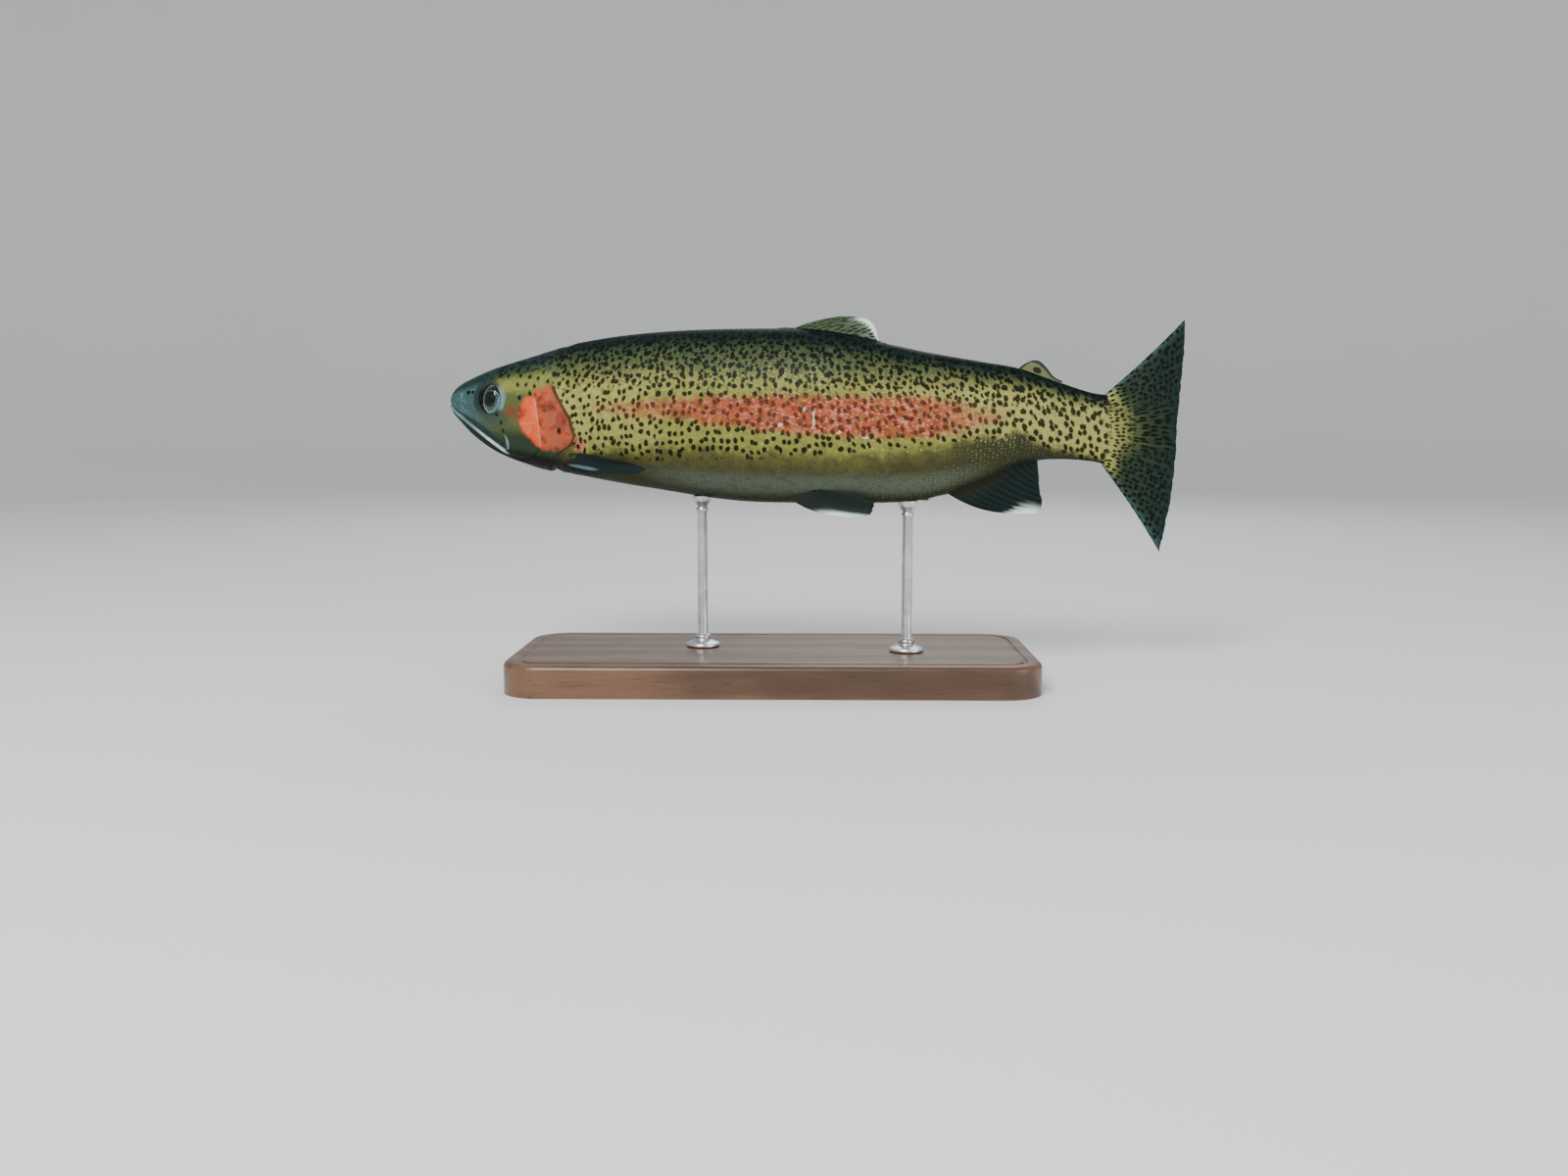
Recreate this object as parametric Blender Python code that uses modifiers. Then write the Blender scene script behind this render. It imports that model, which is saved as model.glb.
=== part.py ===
"""A life-size rainbow trout, swimming, held over a flat base by two short rods.

Places on the fish are given in fish terms: share (along the body from snout 0 to tail tips 1), side (out
from the middle plane, left positive) and up (over the body's axis). Side and up are shares of LENGTH too.
swim() turns such a place into a point of the scene: the fish heads for -X, its left side faces -Y, and its
tail curves round to its right, towards +Y. The origin is the middle of the base's underside.
"""

import bisect
import math

import bmesh
import bpy
from mathutils import Matrix, Vector

# Driving dimensions, in metres.
LENGTH = 0.45  # snout to tail tips, along the body
AXIS_HEIGHT = 0.150  # of the body's axis over the floor
GAP = 0.0003  # between pieces that meet

# Base and rods.
BASE_SIZE = Vector((0.300, 0.120, 0.018))
BASE_CORNER_RADIUS = 0.022
BASE_EDGE_RADIUS = 0.003
ROD_RADIUS = 0.003
ROD_FOOT_RADIUS = 0.010
ROD_FOOT_HEIGHT = 0.004
ROD_CUP_RADIUS = 0.0055
ROD_CUP_HEIGHT = 0.006
ROD_CUP_DEPTH = 0.0012  # how far the cup's lip comes up round the belly
ROD_SHARES = {"front": 0.345, "rear": 0.612}

# The swimming curve: how far the body points towards -Y, in degrees, at the head and after each bend.
OVER_BASE_SHARE = 0.44  # the part of the fish that is over the origin
HEAD_TURN = 10.5
BODY_BEND = {"from": 0.40, "to": 0.84, "turn": -20.0}
TAIL_BEND = {"from": 0.80, "to": 1.00, "turn": -26.0}
CURVE_STEPS = 240
CURVE_ENDS = (-0.10, 1.10)

# Cross-sections: share, back, belly, half width, level of the widest part.
SECTIONS = {
    "tip": (0.000, 0.0262, 0.0228, 0.0000, 0.0245),
    "lip": (0.003, 0.0362, 0.0125, 0.0105, 0.0243),
    "snout": (0.013, 0.0468, 0.0005, 0.0190, 0.0235),
    "nostril": (0.034, 0.0580, -0.0205, 0.0255, 0.0225),
    "eye": (0.068, 0.0708, -0.0425, 0.0345, 0.0205),
    "cheek": (0.115, 0.0838, -0.0588, 0.0465, 0.0180),
    "gill_opening": (0.185, 0.1020, -0.0715, 0.0548, 0.0150),
    "shoulder": (0.270, 0.1127, -0.0853, 0.0588, 0.0120),
    "mid_body": (0.400, 0.1172, -0.1020, 0.0605, 0.0090),
    "dorsal_fin": (0.510, 0.1118, -0.1025, 0.0562, 0.0060),
    "vent": (0.625, 0.0878, -0.0992, 0.0440, 0.0010),
    "anal_fin": (0.700, 0.0748, -0.0760, 0.0340, -0.0020),
    "behind_anal_fin": (0.750, 0.0665, -0.0527, 0.0270, -0.0045),
    "tail_stalk": (0.800, 0.0503, -0.0484, 0.0202, -0.0065),
    "stalk_waist": (0.845, 0.0368, -0.0505, 0.0145, -0.0085),
    "tail_root": (0.880, 0.0328, -0.0560, 0.0095, -0.0105),
    "end": (0.910, 0.0300, -0.0520, 0.0040, -0.0110),
}
# How square a section is above and below its widest part: 2 is an ellipse.
BACK_SQUARENESS = ((0.0, 2.2), (0.10, 2.15), (0.25, 1.95), (0.60, 1.90), (0.91, 2.0))
BELLY_SQUARENESS = ((0.0, 2.1), (0.10, 1.95), (0.25, 2.15), (0.55, 2.30), (0.91, 2.0))
BODY_AROUND = 32
BODY_RINGS = 48
RING_CROWDING = 1.35  # over 1, rings lie closer together towards the snout

# The gill cover's free edge, as (up, share), from the nape down to the throat.
GILL_EDGE = (
    (0.130, 0.163),
    (0.080, 0.157),
    (0.050, 0.160),
    (0.028, 0.172),
    (0.005, 0.187),
    (-0.018, 0.193),
    (-0.030, 0.186),
    (-0.040, 0.168),
    (-0.056, 0.146),
    (-0.100, 0.130),
)
GILL_COVER_TOP, GILL_COVER_FOOT = 0.044, -0.039
GILL_COVER_FRONT = ((0.044, 0.140), (0.0, 0.1395), (-0.039, 0.143))
GILL_COVER_CORNER = 0.004
GILL_COVER_THICKNESS = 0.0030
# The mouth: a straight slit in side view, and the upper jaw's plate along it.
MOUTH_FRONT, MOUTH_BACK = (0.0, 0.0255), (0.083, -0.0362)
JAW_HEEL = (0.101, -0.080)
MAXILLA_OUTLINE = (
    (0.013, 0.0168),
    (0.078, -0.0312),
    (0.0865, -0.0350),
    (0.0915, -0.0315),
    (0.0905, -0.0245),
    (0.0845, -0.0170),
    (0.0690, -0.0050),
    (0.0450, 0.0078),
    (0.0240, 0.0172),
    (0.0130, 0.0215),
)
MAXILLA_THICKNESS = 0.0020
TAIL_CUT = 0.800
TAIL_ROOT = 0.868

EYE_SHARE, EYE_UP = 0.068, 0.0290
EYE_HALF_SIZE = Vector((0.0087, 0.0094, 0.0048))  # along the head, up, and outwards
EYE_DEPTH = 0.0024  # of the eyeball's middle under the skin
EYE_FORWARD = 5.0  # degrees that the eye looks ahead of the cheek it sits in

# Fins, as (share, side, up) knots from the leading ray to the last one: the outer edge, and the root of
# those that aren't rooted along the back or belly. The paired fins are given for the left.
DORSAL_EDGE = (
    (0.524, 0, 0.1308),
    (0.545, 0, 0.1303),
    (0.560, 0, 0.1262),
    (0.569, 0, 0.1160),
    (0.5735, 0, 0.0985),
)
ADIPOSE_EDGE = (
    (0.768, 0, 0.0764),
    (0.777, 0, 0.0752),
    (0.786, 0, 0.0676),
    (0.796, 0, 0.0562),
    (0.8085, 0, 0.0500),
)
ANAL_EDGE = (
    (0.7640, 0, -0.1172),
    (0.7790, 0, -0.1160),
    (0.7858, 0, -0.1040),
    (0.7812, 0, -0.0860),
    (0.7795, 0, -0.0700),
    (0.7775, 0, -0.0500),
)
TAIL_EDGE = (
    (0.9925, 0, 0.1325),
    (0.9962, 0, 0.0880),
    (0.9935, 0, 0.0330),
    (0.9880, 0, -0.0060),
    (0.9845, 0, -0.0500),
    (0.9775, 0, -0.1080),
    (0.9635, 0, -0.1725),
)
PECTORAL_ROOT = ((0.173, 0.0250, -0.0555), (0.177, 0.0320, -0.0475), (0.181, 0.0395, -0.0390))
PECTORAL_EDGE = (
    (0.2760, 0.0600, -0.0660),
    (0.2890, 0.0610, -0.0598),
    (0.2740, 0.0575, -0.0538),
    (0.2430, 0.0545, -0.0483),
    (0.2180, 0.0515, -0.0430),
)
PELVIC_ROOT = ((0.452, 0.0215, -0.0885), (0.461, 0.0255, -0.0845), (0.470, 0.0290, -0.0805))
PELVIC_EDGE = (
    (0.5400, 0.0500, -0.1178),
    (0.5620, 0.0495, -0.1160),
    (0.5700, 0.0470, -0.1085),
    (0.5640, 0.0440, -0.0975),
    (0.5480, 0.0425, -0.0895),
)
FIN_ROOT_DEPTH = 0.006  # how far a fin's sheet starts under the skin before it is cut off there
OUTSIDE = 0.30  # a share of LENGTH that is clear of the body on either side
AHEAD_OF_SNOUT = -0.04
TAIL_FIN_OVER, TAIL_FIN_UNDER = 0.0006, 0.0035  # how far the tail fin's root stands over and under the stalk


# Curves and places.


def smooth_curve(knots):
    """A function through the (x, value) knots, with a continuous slope. Values may be numbers or Vectors."""
    xs = [x for x, _ in knots]
    values = [v for _, v in knots]
    slopes = []
    for i in range(len(knots)):
        a, b = max(i - 1, 0), min(i + 1, len(knots) - 1)
        slopes.append((values[b] - values[a]) / (xs[b] - xs[a]))

    def at(x):
        i = min(max(bisect.bisect_right(xs, x) - 1, 0), len(xs) - 2)
        span = xs[i + 1] - xs[i]
        t = min(max((x - xs[i]) / span, 0.0), 1.0)
        rise = t * t * (3 - 2 * t)
        start = slopes[i] * span * (t * (1 - t) ** 2)
        stop = slopes[i + 1] * span * (t * t * (t - 1))
        return values[i] * (1 - rise) + values[i + 1] * rise + start + stop

    return at


def ease(start, stop, x):
    t = min(max((x - start) / (stop - start), 0.0), 1.0)
    return t * t * (3 - 2 * t)


def heading(share):
    """The angle of the body's axis at this share, in radians."""
    degrees = HEAD_TURN
    for bend in (BODY_BEND, TAIL_BEND):
        degrees += bend["turn"] * ease(bend["from"], bend["to"], share)
    return math.radians(degrees)


def swimming_axis():
    """Points of the body's axis over the floor plan, evenly spaced in share between CURVE_ENDS."""
    first, last = CURVE_ENDS
    step = (last - first) / CURVE_STEPS
    points = [Vector((0, 0))]
    for i in range(CURVE_STEPS):
        turn = heading(first + (i + 0.5) * step)
        points.append(points[-1] + LENGTH * step * Vector((math.cos(turn), -math.sin(turn))))
    return points


AXIS = swimming_axis()


def axis_at(share):
    first, last = CURVE_ENDS
    x = (share - first) / (last - first) * CURVE_STEPS
    i = min(max(int(x), 0), CURVE_STEPS - 1)
    return AXIS[i].lerp(AXIS[i + 1], x - i)


def swim(share, side, up):
    """The scene point of a place on the fish."""
    turn = heading(share)
    plan = axis_at(share) - axis_at(OVER_BASE_SHARE)
    plan -= side * LENGTH * Vector((math.sin(turn), math.cos(turn)))
    return Vector((plan.x, plan.y, AXIS_HEIGHT + up * LENGTH))


BACK = smooth_curve([(s[0], s[1]) for s in SECTIONS.values()])
BELLY = smooth_curve([(s[0], s[2]) for s in SECTIONS.values()])
HALF_WIDTH = smooth_curve([(s[0], s[3]) for s in SECTIONS.values()])
LEVEL = smooth_curve([(s[0], s[4]) for s in SECTIONS.values()])
SQUARE_BACK = smooth_curve(BACK_SQUARENESS)
SQUARE_BELLY = smooth_curve(BELLY_SQUARENESS)
GILL_EDGE_AT = smooth_curve([(up, share) for up, share in reversed(GILL_EDGE)])
GILL_FRONT_AT = smooth_curve([(up, share) for up, share in reversed(GILL_COVER_FRONT)])


def section_point(share, angle, inset=0.0):
    """(side, up) on the body's skin, or inset under it. Angle 0 is the left, and a quarter turn the back."""
    least = 0.0002 / LENGTH
    level = LEVEL(share)
    across = max(HALF_WIDTH(share) - inset, least)
    if math.sin(angle) >= 0:
        height, square = max(BACK(share) - level - inset, least), SQUARE_BACK(share)
    else:
        height, square = max(level - BELLY(share) - inset, least), SQUARE_BELLY(share)
    side = math.copysign(abs(math.cos(angle)) ** (2 / square), math.cos(angle)) * across
    up = math.copysign(abs(math.sin(angle)) ** (2 / square), math.sin(angle)) * height
    return side, level + up


def skin_side(share, up):
    """How far out the skin is at this height."""
    level = LEVEL(share)
    if up >= level:
        height, square = BACK(share) - level, SQUARE_BACK(share)
    else:
        height, square = level - BELLY(share), SQUARE_BELLY(share)
    reach = min(abs(up - level) / height, 1.0)
    return HALF_WIDTH(share) * (1 - reach**square) ** (1 / square)


# Objects.


def new_collection(name):
    made = bpy.data.collections.new(name)
    bpy.context.scene.collection.children.link(made)
    return made


def new_material(name, colour, roughness, metallic=0.0):
    material = bpy.data.materials.new(name)
    material.use_nodes = True
    shader = material.node_tree.nodes["Principled BSDF"]
    shader.inputs["Base Color"].default_value = (*colour, 1)
    shader.inputs["Roughness"].default_value = roughness
    shader.inputs["Metallic"].default_value = metallic
    return material


def new_object(name, mesh, collection, material=None):
    mesh.name = name
    if material:
        mesh.materials.clear()
        mesh.materials.append(material)
    made = bpy.data.objects.new(name, mesh)
    collection.objects.link(made)
    return made


def new_cutter(name, mesh):
    made = new_object(name, mesh, CUTTERS)
    made.hide_render = True
    made.display_type = "WIRE"
    return made


def mesh_of(bm):
    bmesh.ops.recalc_face_normals(bm, faces=bm.faces)
    if bm.calc_volume(signed=True) < 0:
        bmesh.ops.reverse_faces(bm, faces=bm.faces)
    mesh = bpy.data.meshes.new("mesh")
    bm.to_mesh(mesh)
    bm.free()
    return mesh


def shade_round(obj, angle=math.radians(40)):
    obj.data.shade_smooth()
    obj.data.set_sharp_from_angle(angle=angle)


def boolean(obj, operation, other):
    modifier = obj.modifiers.new(f"{operation.lower()} {other.name}", "BOOLEAN")
    modifier.operation = operation
    modifier.object = other
    return modifier


def body_mesh(inset=0.0):
    """The whole body, without fins, as a sphere whose rings are drawn out along the swimming curve."""
    bm = bmesh.new()
    bmesh.ops.create_uvsphere(bm, u_segments=BODY_AROUND, v_segments=BODY_RINGS, radius=1)
    last = SECTIONS["end"][0]
    for vert in bm.verts:
        ring = math.acos(min(max(vert.co.z, -1.0), 1.0)) / math.pi
        share = last * ring**RING_CROWDING
        if math.hypot(vert.co.x, vert.co.y) < 1e-5:
            side, up = 0.0, LEVEL(share)
        else:
            side, up = section_point(share, math.atan2(vert.co.y, vert.co.x), inset / LENGTH)
        vert.co = swim(share, side, up)
    return mesh_of(bm)


def outline_mesh(points, side_from, side_to):
    """A flat outline, given as (share, up) points, drawn out sideways through the fish."""
    curve = bpy.data.curves.new("outline", "CURVE")
    curve.dimensions = "2D"
    curve.fill_mode = "BOTH"
    curve.extrude = 0.5
    spline = curve.splines.new("POLY")
    spline.points.add(len(points) - 1)
    for point, (share, up) in zip(spline.points, points):
        point.co = (share, up, 0, 1)
    spline.use_cyclic_u = True
    holder = bpy.data.objects.new("outline", curve)
    CUTTERS.objects.link(holder)
    evaluated = holder.evaluated_get(bpy.context.evaluated_depsgraph_get())
    bm = bmesh.new()
    bm.from_mesh(bpy.data.meshes.new_from_object(evaluated))
    bpy.data.objects.remove(holder)
    bmesh.ops.remove_doubles(bm, verts=bm.verts, dist=1e-5)
    for vert in bm.verts:
        side = side_from if vert.co.z < 0 else side_to
        vert.co = swim(vert.co.x, side, vert.co.y)
    return mesh_of(bm)


def grown(points, by):
    """The outline moved out by this many metres all round."""
    count = len(points)
    corners = [Vector(p) for p in points]
    turns = sum(corners[i - 1].x * corners[i].y - corners[i].x * corners[i - 1].y for i in range(count))
    outward = math.copysign(1.0, turns)
    moved = []
    for i, corner in enumerate(corners):
        before = (corner - corners[i - 1]).normalized()
        after = (corners[(i + 1) % count] - corner).normalized()
        normal = Vector((before.y + after.y, -before.x - after.x)).normalized() * outward
        stretch = 1 / max(normal.dot(Vector((after.y, -after.x)) * outward), 0.5)
        moved.append(tuple(corner + normal * stretch * by / LENGTH))
    return moved


# The fish's parts.


def gill_edge_points(first, last, count, shift=0.0):
    ups = [first + (last - first) * i / (count - 1) for i in range(count)]
    return [(GILL_EDGE_AT(up) + shift / LENGTH, up) for up in ups]


def gill_cover_outline():
    top, foot = GILL_COVER_TOP - GILL_COVER_CORNER, GILL_COVER_FOOT + GILL_COVER_CORNER
    rear = gill_edge_points(top, foot, 12)
    foot_corner = (GILL_FRONT_AT(GILL_COVER_FOOT) + 3 * GILL_COVER_CORNER, GILL_COVER_FOOT)
    front = [(GILL_FRONT_AT(foot + (top - foot) * i / 4), foot + (top - foot) * i / 4) for i in range(5)]
    top_corner = (GILL_FRONT_AT(GILL_COVER_TOP) + 1.5 * GILL_COVER_CORNER, GILL_COVER_TOP)
    return [*rear, foot_corner, *front, top_corner]


def mouth_line_at(share):
    (x0, z0), (x1, z1) = MOUTH_FRONT, MOUTH_BACK
    return z0 + (share - x0) / (x1 - x0) * (z1 - z0)


def jaw_outline():
    return [
        (AHEAD_OF_SNOUT, mouth_line_at(AHEAD_OF_SNOUT)),
        MOUTH_BACK,
        JAW_HEEL,
        (AHEAD_OF_SNOUT, JAW_HEEL[1]),
    ]


def skin_place(share, up, hand):
    return swim(share, hand * skin_side(share, up), up)


def eye_placement(hand):
    """The eyeball's middle and its turn: its own Z looks out of the head, its Y is up."""
    step = 0.01
    here = skin_place(EYE_SHARE, EYE_UP, hand)
    back = skin_place(EYE_SHARE + step, EYE_UP, hand) - skin_place(EYE_SHARE - step, EYE_UP, hand)
    rise = skin_place(EYE_SHARE, EYE_UP + step, hand) - skin_place(EYE_SHARE, EYE_UP - step, hand)
    out = back.cross(rise).normalized() * hand
    back.normalize()
    ahead = math.radians(EYE_FORWARD)
    out, back = out * math.cos(ahead) - back * math.sin(ahead), back * math.cos(ahead) + out * math.sin(ahead)
    turn = Matrix((back, out.cross(back), out)).transposed().to_4x4()
    return Matrix.Translation(here - out * EYE_DEPTH) @ turn


def eyeball_mesh(hand, grow=0.0, around=18, rings=10):
    bm = bmesh.new()
    bmesh.ops.create_uvsphere(bm, u_segments=around, v_segments=rings, radius=1)
    half = EYE_HALF_SIZE + Vector((grow, grow, grow))
    bmesh.ops.scale(bm, verts=bm.verts, vec=half)
    bm.transform(eye_placement(hand))
    return mesh_of(bm)


def make_body():
    """Head, jaw, upper jaw plates, gill covers, eyes, trunk and tail, all cut from one body."""
    hands = {"left": 1, "right": -1}
    body = body_mesh()
    deep_gill = new_cutter("under_gill_cover", body_mesh(GILL_COVER_THICKNESS))
    deeper_gill = new_cutter("gill_pocket_floor", body_mesh(GILL_COVER_THICKNESS + GAP))
    deep_maxilla = new_cutter("under_maxilla", body_mesh(MAXILLA_THICKNESS))
    deeper_maxilla = new_cutter("maxilla_pocket_floor", body_mesh(MAXILLA_THICKNESS + GAP))

    front = [(AHEAD_OF_SNOUT, GILL_EDGE[-1][0]), (AHEAD_OF_SNOUT, GILL_EDGE[0][0])]
    edge = gill_edge_points(GILL_EDGE[0][0], GILL_EDGE[-1][0], 24)
    head_region = new_cutter("head_region", outline_mesh([*front, *edge], -OUTSIDE, OUTSIDE))
    jaw_region = new_cutter("jaw_region", outline_mesh(jaw_outline(), -OUTSIDE, OUTSIDE))
    jaw_gap = new_cutter("jaw_gap", outline_mesh(grown(jaw_outline(), GAP), -OUTSIDE, OUTSIDE))

    cover, maxilla = gill_cover_outline(), MAXILLA_OUTLINE
    cover_pocket = new_cutter("gill_pocket", outline_mesh(grown(cover, GAP), -OUTSIDE, OUTSIDE))
    boolean(cover_pocket, "DIFFERENCE", deeper_gill)
    maxilla_pocket = new_cutter("maxilla_pocket", outline_mesh(grown(maxilla, GAP), -OUTSIDE, OUTSIDE))
    boolean(maxilla_pocket, "DIFFERENCE", deeper_maxilla)

    head = new_object("head", body.copy(), FISH, SKIN)
    boolean(head, "INTERSECT", head_region)
    for cutter in (jaw_gap, cover_pocket, maxilla_pocket):
        boolean(head, "DIFFERENCE", cutter)

    jaw = new_object("lower_jaw", body.copy(), FISH, JAW)
    boolean(jaw, "INTERSECT", jaw_region)
    boolean(jaw, "DIFFERENCE", maxilla_pocket)

    for name, hand in hands.items():
        socket = new_cutter(f"eye_socket_{name}", eyeball_mesh(hand, GAP))
        boolean(head, "DIFFERENCE", socket)
        eye = new_object(f"eye_{name}", eyeball_mesh(hand), FISH, EYE)
        shade_round(eye)

        for part, outline, floor, material in (
            ("gill_cover", cover, deep_gill, CHEEK),
            ("maxilla", maxilla, deep_maxilla, JAW),
        ):
            near, far = sorted((0, hand * OUTSIDE))
            region = new_cutter(f"{part}_{name}_region", outline_mesh(outline, near, far))
            plate = new_object(f"{part}_{name}", body.copy(), FISH, material)
            boolean(plate, "INTERSECT", region)
            boolean(plate, "DIFFERENCE", floor)
            shade_round(plate)

    edge = gill_edge_points(GILL_EDGE[0][0], GILL_EDGE[-1][0], 24, GAP)
    under_belly = (edge[-1][0], GILL_EDGE[-1][0] - 0.05)
    rear = [under_belly, (TAIL_CUT, under_belly[1]), (TAIL_CUT, GILL_EDGE[0][0])]
    trunk_region = new_cutter("trunk_region", outline_mesh([*edge, *rear], -OUTSIDE, OUTSIDE))
    trunk = new_object("trunk", body.copy(), FISH, SKIN)
    boolean(trunk, "INTERSECT", trunk_region)

    start, stop = TAIL_CUT + GAP / LENGTH, TAIL_ROOT
    box = [(start, -OUTSIDE), (stop, -OUTSIDE), (stop, OUTSIDE), (start, OUTSIDE)]
    tail_region = new_cutter("tail_region", outline_mesh(box, -OUTSIDE, OUTSIDE))
    tail = new_object("tail", body, FISH, SKIN)
    boolean(tail, "INTERSECT", tail_region)
    for part in (head, jaw, trunk, tail):
        shade_round(part)


def make_fin(name, root, edge, rays, rows, thickness, rim, bow=0.0, fat_root=None):
    """A fan of rays from the root line to the outer edge, thick at the root and thin at the rim.

    Root and edge are (share, side, up) knots in order from the leading ray to the last one. Bow lifts the
    middle of the leading ray off its straight line. fat_root(t) gives the root's own thickness across the
    fan, as a share of thickness.
    """
    root_at = smooth_curve([(i / (len(root) - 1), Vector(p)) for i, p in enumerate(root)])
    edge_at = smooth_curve([(i / (len(edge) - 1), Vector(p)) for i, p in enumerate(edge)])
    bm = bmesh.new()
    bmesh.ops.create_grid(bm, x_segments=rays, y_segments=rows, size=1)
    bm.verts.ensure_lookup_table()
    weights = []
    for vert in bm.verts:
        across, along = (vert.co.x + 1) / 2, (vert.co.y + 1) / 2
        start, stop = root_at(across), edge_at(across)
        place = start.lerp(stop, along)
        ray = stop - start
        lift = bow * (1 - across) * math.sin(math.pi * along)
        place += Vector((-ray.z, 0, ray.x)) * lift
        full = fat_root(across) if fat_root else 1.0
        thin = rim / thickness
        fade = (1 - along) ** 1.5
        weights.append(max(thin, thin + (full - thin) * fade))
        vert.co = swim(*place)
    mesh = mesh_of(bm)
    fin = new_object(name, mesh, FISH, FIN)
    group = fin.vertex_groups.new(name="thickness")
    for index, weight in enumerate(weights):
        group.add([index], min(weight, 1.0), "REPLACE")
    solid = fin.modifiers.new("solid", "SOLIDIFY")
    solid.thickness = thickness
    solid.offset = 0
    solid.vertex_group = group.name
    solid.thickness_vertex_group = 0.0
    shade_round(fin)
    return fin


def root_along_back(start, stop, count=5):
    shares = [start + (stop - start) * i / (count - 1) for i in range(count)]
    return [(s, 0, BACK(s) - FIN_ROOT_DEPTH / LENGTH) for s in shares]


def root_along_belly(start, stop, count=5):
    shares = [start + (stop - start) * i / (count - 1) for i in range(count)]
    return [(s, 0, BELLY(s) + FIN_ROOT_DEPTH / LENGTH) for s in shares]


def make_middle_fins(clearance):
    dorsal = make_fin(
        "dorsal_fin", root_along_back(0.438, 0.568), DORSAL_EDGE,
        rays=12, rows=6, thickness=0.0032, rim=0.0010, bow=0.05,
    )
    adipose = make_fin(
        "adipose_fin", root_along_back(0.743, 0.788), ADIPOSE_EDGE,
        rays=9, rows=5, thickness=0.0036, rim=0.0014, bow=0.12,
    )
    anal = make_fin(
        "anal_fin", root_along_belly(0.647, 0.776), ANAL_EDGE,
        rays=13, rows=7, thickness=0.0034, rim=0.0010, bow=-0.09,
    )
    for fin in (dorsal, adipose, anal):
        boolean(fin, "DIFFERENCE", clearance)


def stalk_fullness(across):
    """How thick the tail fin's root is across the fan: round in the middle, thinner at the two edges."""
    return max(math.sqrt(max(1 - (2 * across - 1) ** 2, 0.0)), 0.25)


def make_tail_fin():
    """The tail fin butts on the flat end of the tail, as thick there as the tail is."""
    share = TAIL_ROOT + GAP / LENGTH
    top, foot = BACK(share) + TAIL_FIN_OVER, BELLY(share) - TAIL_FIN_UNDER
    make_fin(
        "tail_fin", [(share, 0, top + (foot - top) * i / 4) for i in range(5)], TAIL_EDGE,
        rays=16, rows=8, thickness=2 * HALF_WIDTH(share) * LENGTH, rim=0.0009, fat_root=stalk_fullness,
    )


def on_hand(hand, knots):
    return [(share, hand * side, up) for share, side, up in knots]


def make_paired_fins(clearance):
    for name, hand in {"left": 1, "right": -1}.items():
        pectoral = make_fin(
            f"pectoral_fin_{name}", on_hand(hand, PECTORAL_ROOT), on_hand(hand, PECTORAL_EDGE),
            rays=9, rows=7, thickness=0.0034, rim=0.0010, bow=-0.045,
        )
        pelvic = make_fin(
            f"pelvic_fin_{name}", on_hand(hand, PELVIC_ROOT), on_hand(hand, PELVIC_EDGE),
            rays=9, rows=7, thickness=0.0032, rim=0.0010, bow=-0.08,
        )
        for fin in (pectoral, pelvic):
            boolean(fin, "DIFFERENCE", clearance)


# The stand.


def make_base():
    bm = bmesh.new()
    bmesh.ops.create_cube(bm, size=1)
    bmesh.ops.scale(bm, vec=BASE_SIZE, verts=bm.verts)
    bmesh.ops.translate(bm, vec=(0, 0, BASE_SIZE.z / 2), verts=bm.verts)
    upright = [e for e in bm.edges if abs(e.verts[0].co.z - e.verts[1].co.z) > BASE_SIZE.z / 2]
    bmesh.ops.bevel(
        bm, geom=upright, offset=BASE_CORNER_RADIUS, segments=6, affect="EDGES", profile=0.5
    )
    rim = [e for e in bm.edges if all(v.co.z > BASE_SIZE.z - 1e-5 for v in e.verts)]
    bmesh.ops.bevel(bm, geom=rim, offset=BASE_EDGE_RADIUS, segments=2, affect="EDGES", profile=0.5)
    base = new_object("stand_base", mesh_of(bm), STAND, WOOD)
    shade_round(base, math.radians(30))


def rod_profile(height):
    """Outer side of the rod from the top down: a small cup, the rod and a low foot."""
    waist = ROD_CUP_HEIGHT * 0.6
    return (
        (0, height),
        (ROD_CUP_RADIUS, height),
        (ROD_CUP_RADIUS, height - waist),
        (ROD_RADIUS, height - ROD_CUP_HEIGHT),
        (ROD_RADIUS, ROD_FOOT_HEIGHT),
        (ROD_FOOT_RADIUS * 0.8, ROD_FOOT_HEIGHT * 0.75),
        (ROD_FOOT_RADIUS, ROD_FOOT_HEIGHT * 0.35),
        (ROD_FOOT_RADIUS, 0),
        (0, 0),
    )


def make_rod(name, share, clearance):
    foot = swim(share, 0, 0)
    foot.z = BASE_SIZE.z + GAP
    top = swim(share, 0, BELLY(share)).z + ROD_CUP_DEPTH
    profile = rod_profile(top - foot.z)
    mesh = bpy.data.meshes.new("profile")
    mesh.from_pydata([(x, 0, z) for x, z in profile], [(i, i + 1) for i in range(len(profile) - 1)], [])
    rod = new_object(f"stand_rod_{name}", mesh, STAND, STEEL)
    rod.location = foot
    turn = rod.modifiers.new("turn", "SCREW")
    turn.steps = turn.render_steps = 16
    turn.use_merge_vertices = True
    turn.merge_threshold = 0.0001
    turn.use_smooth_shade = True
    boolean(rod, "DIFFERENCE", clearance)


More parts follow.
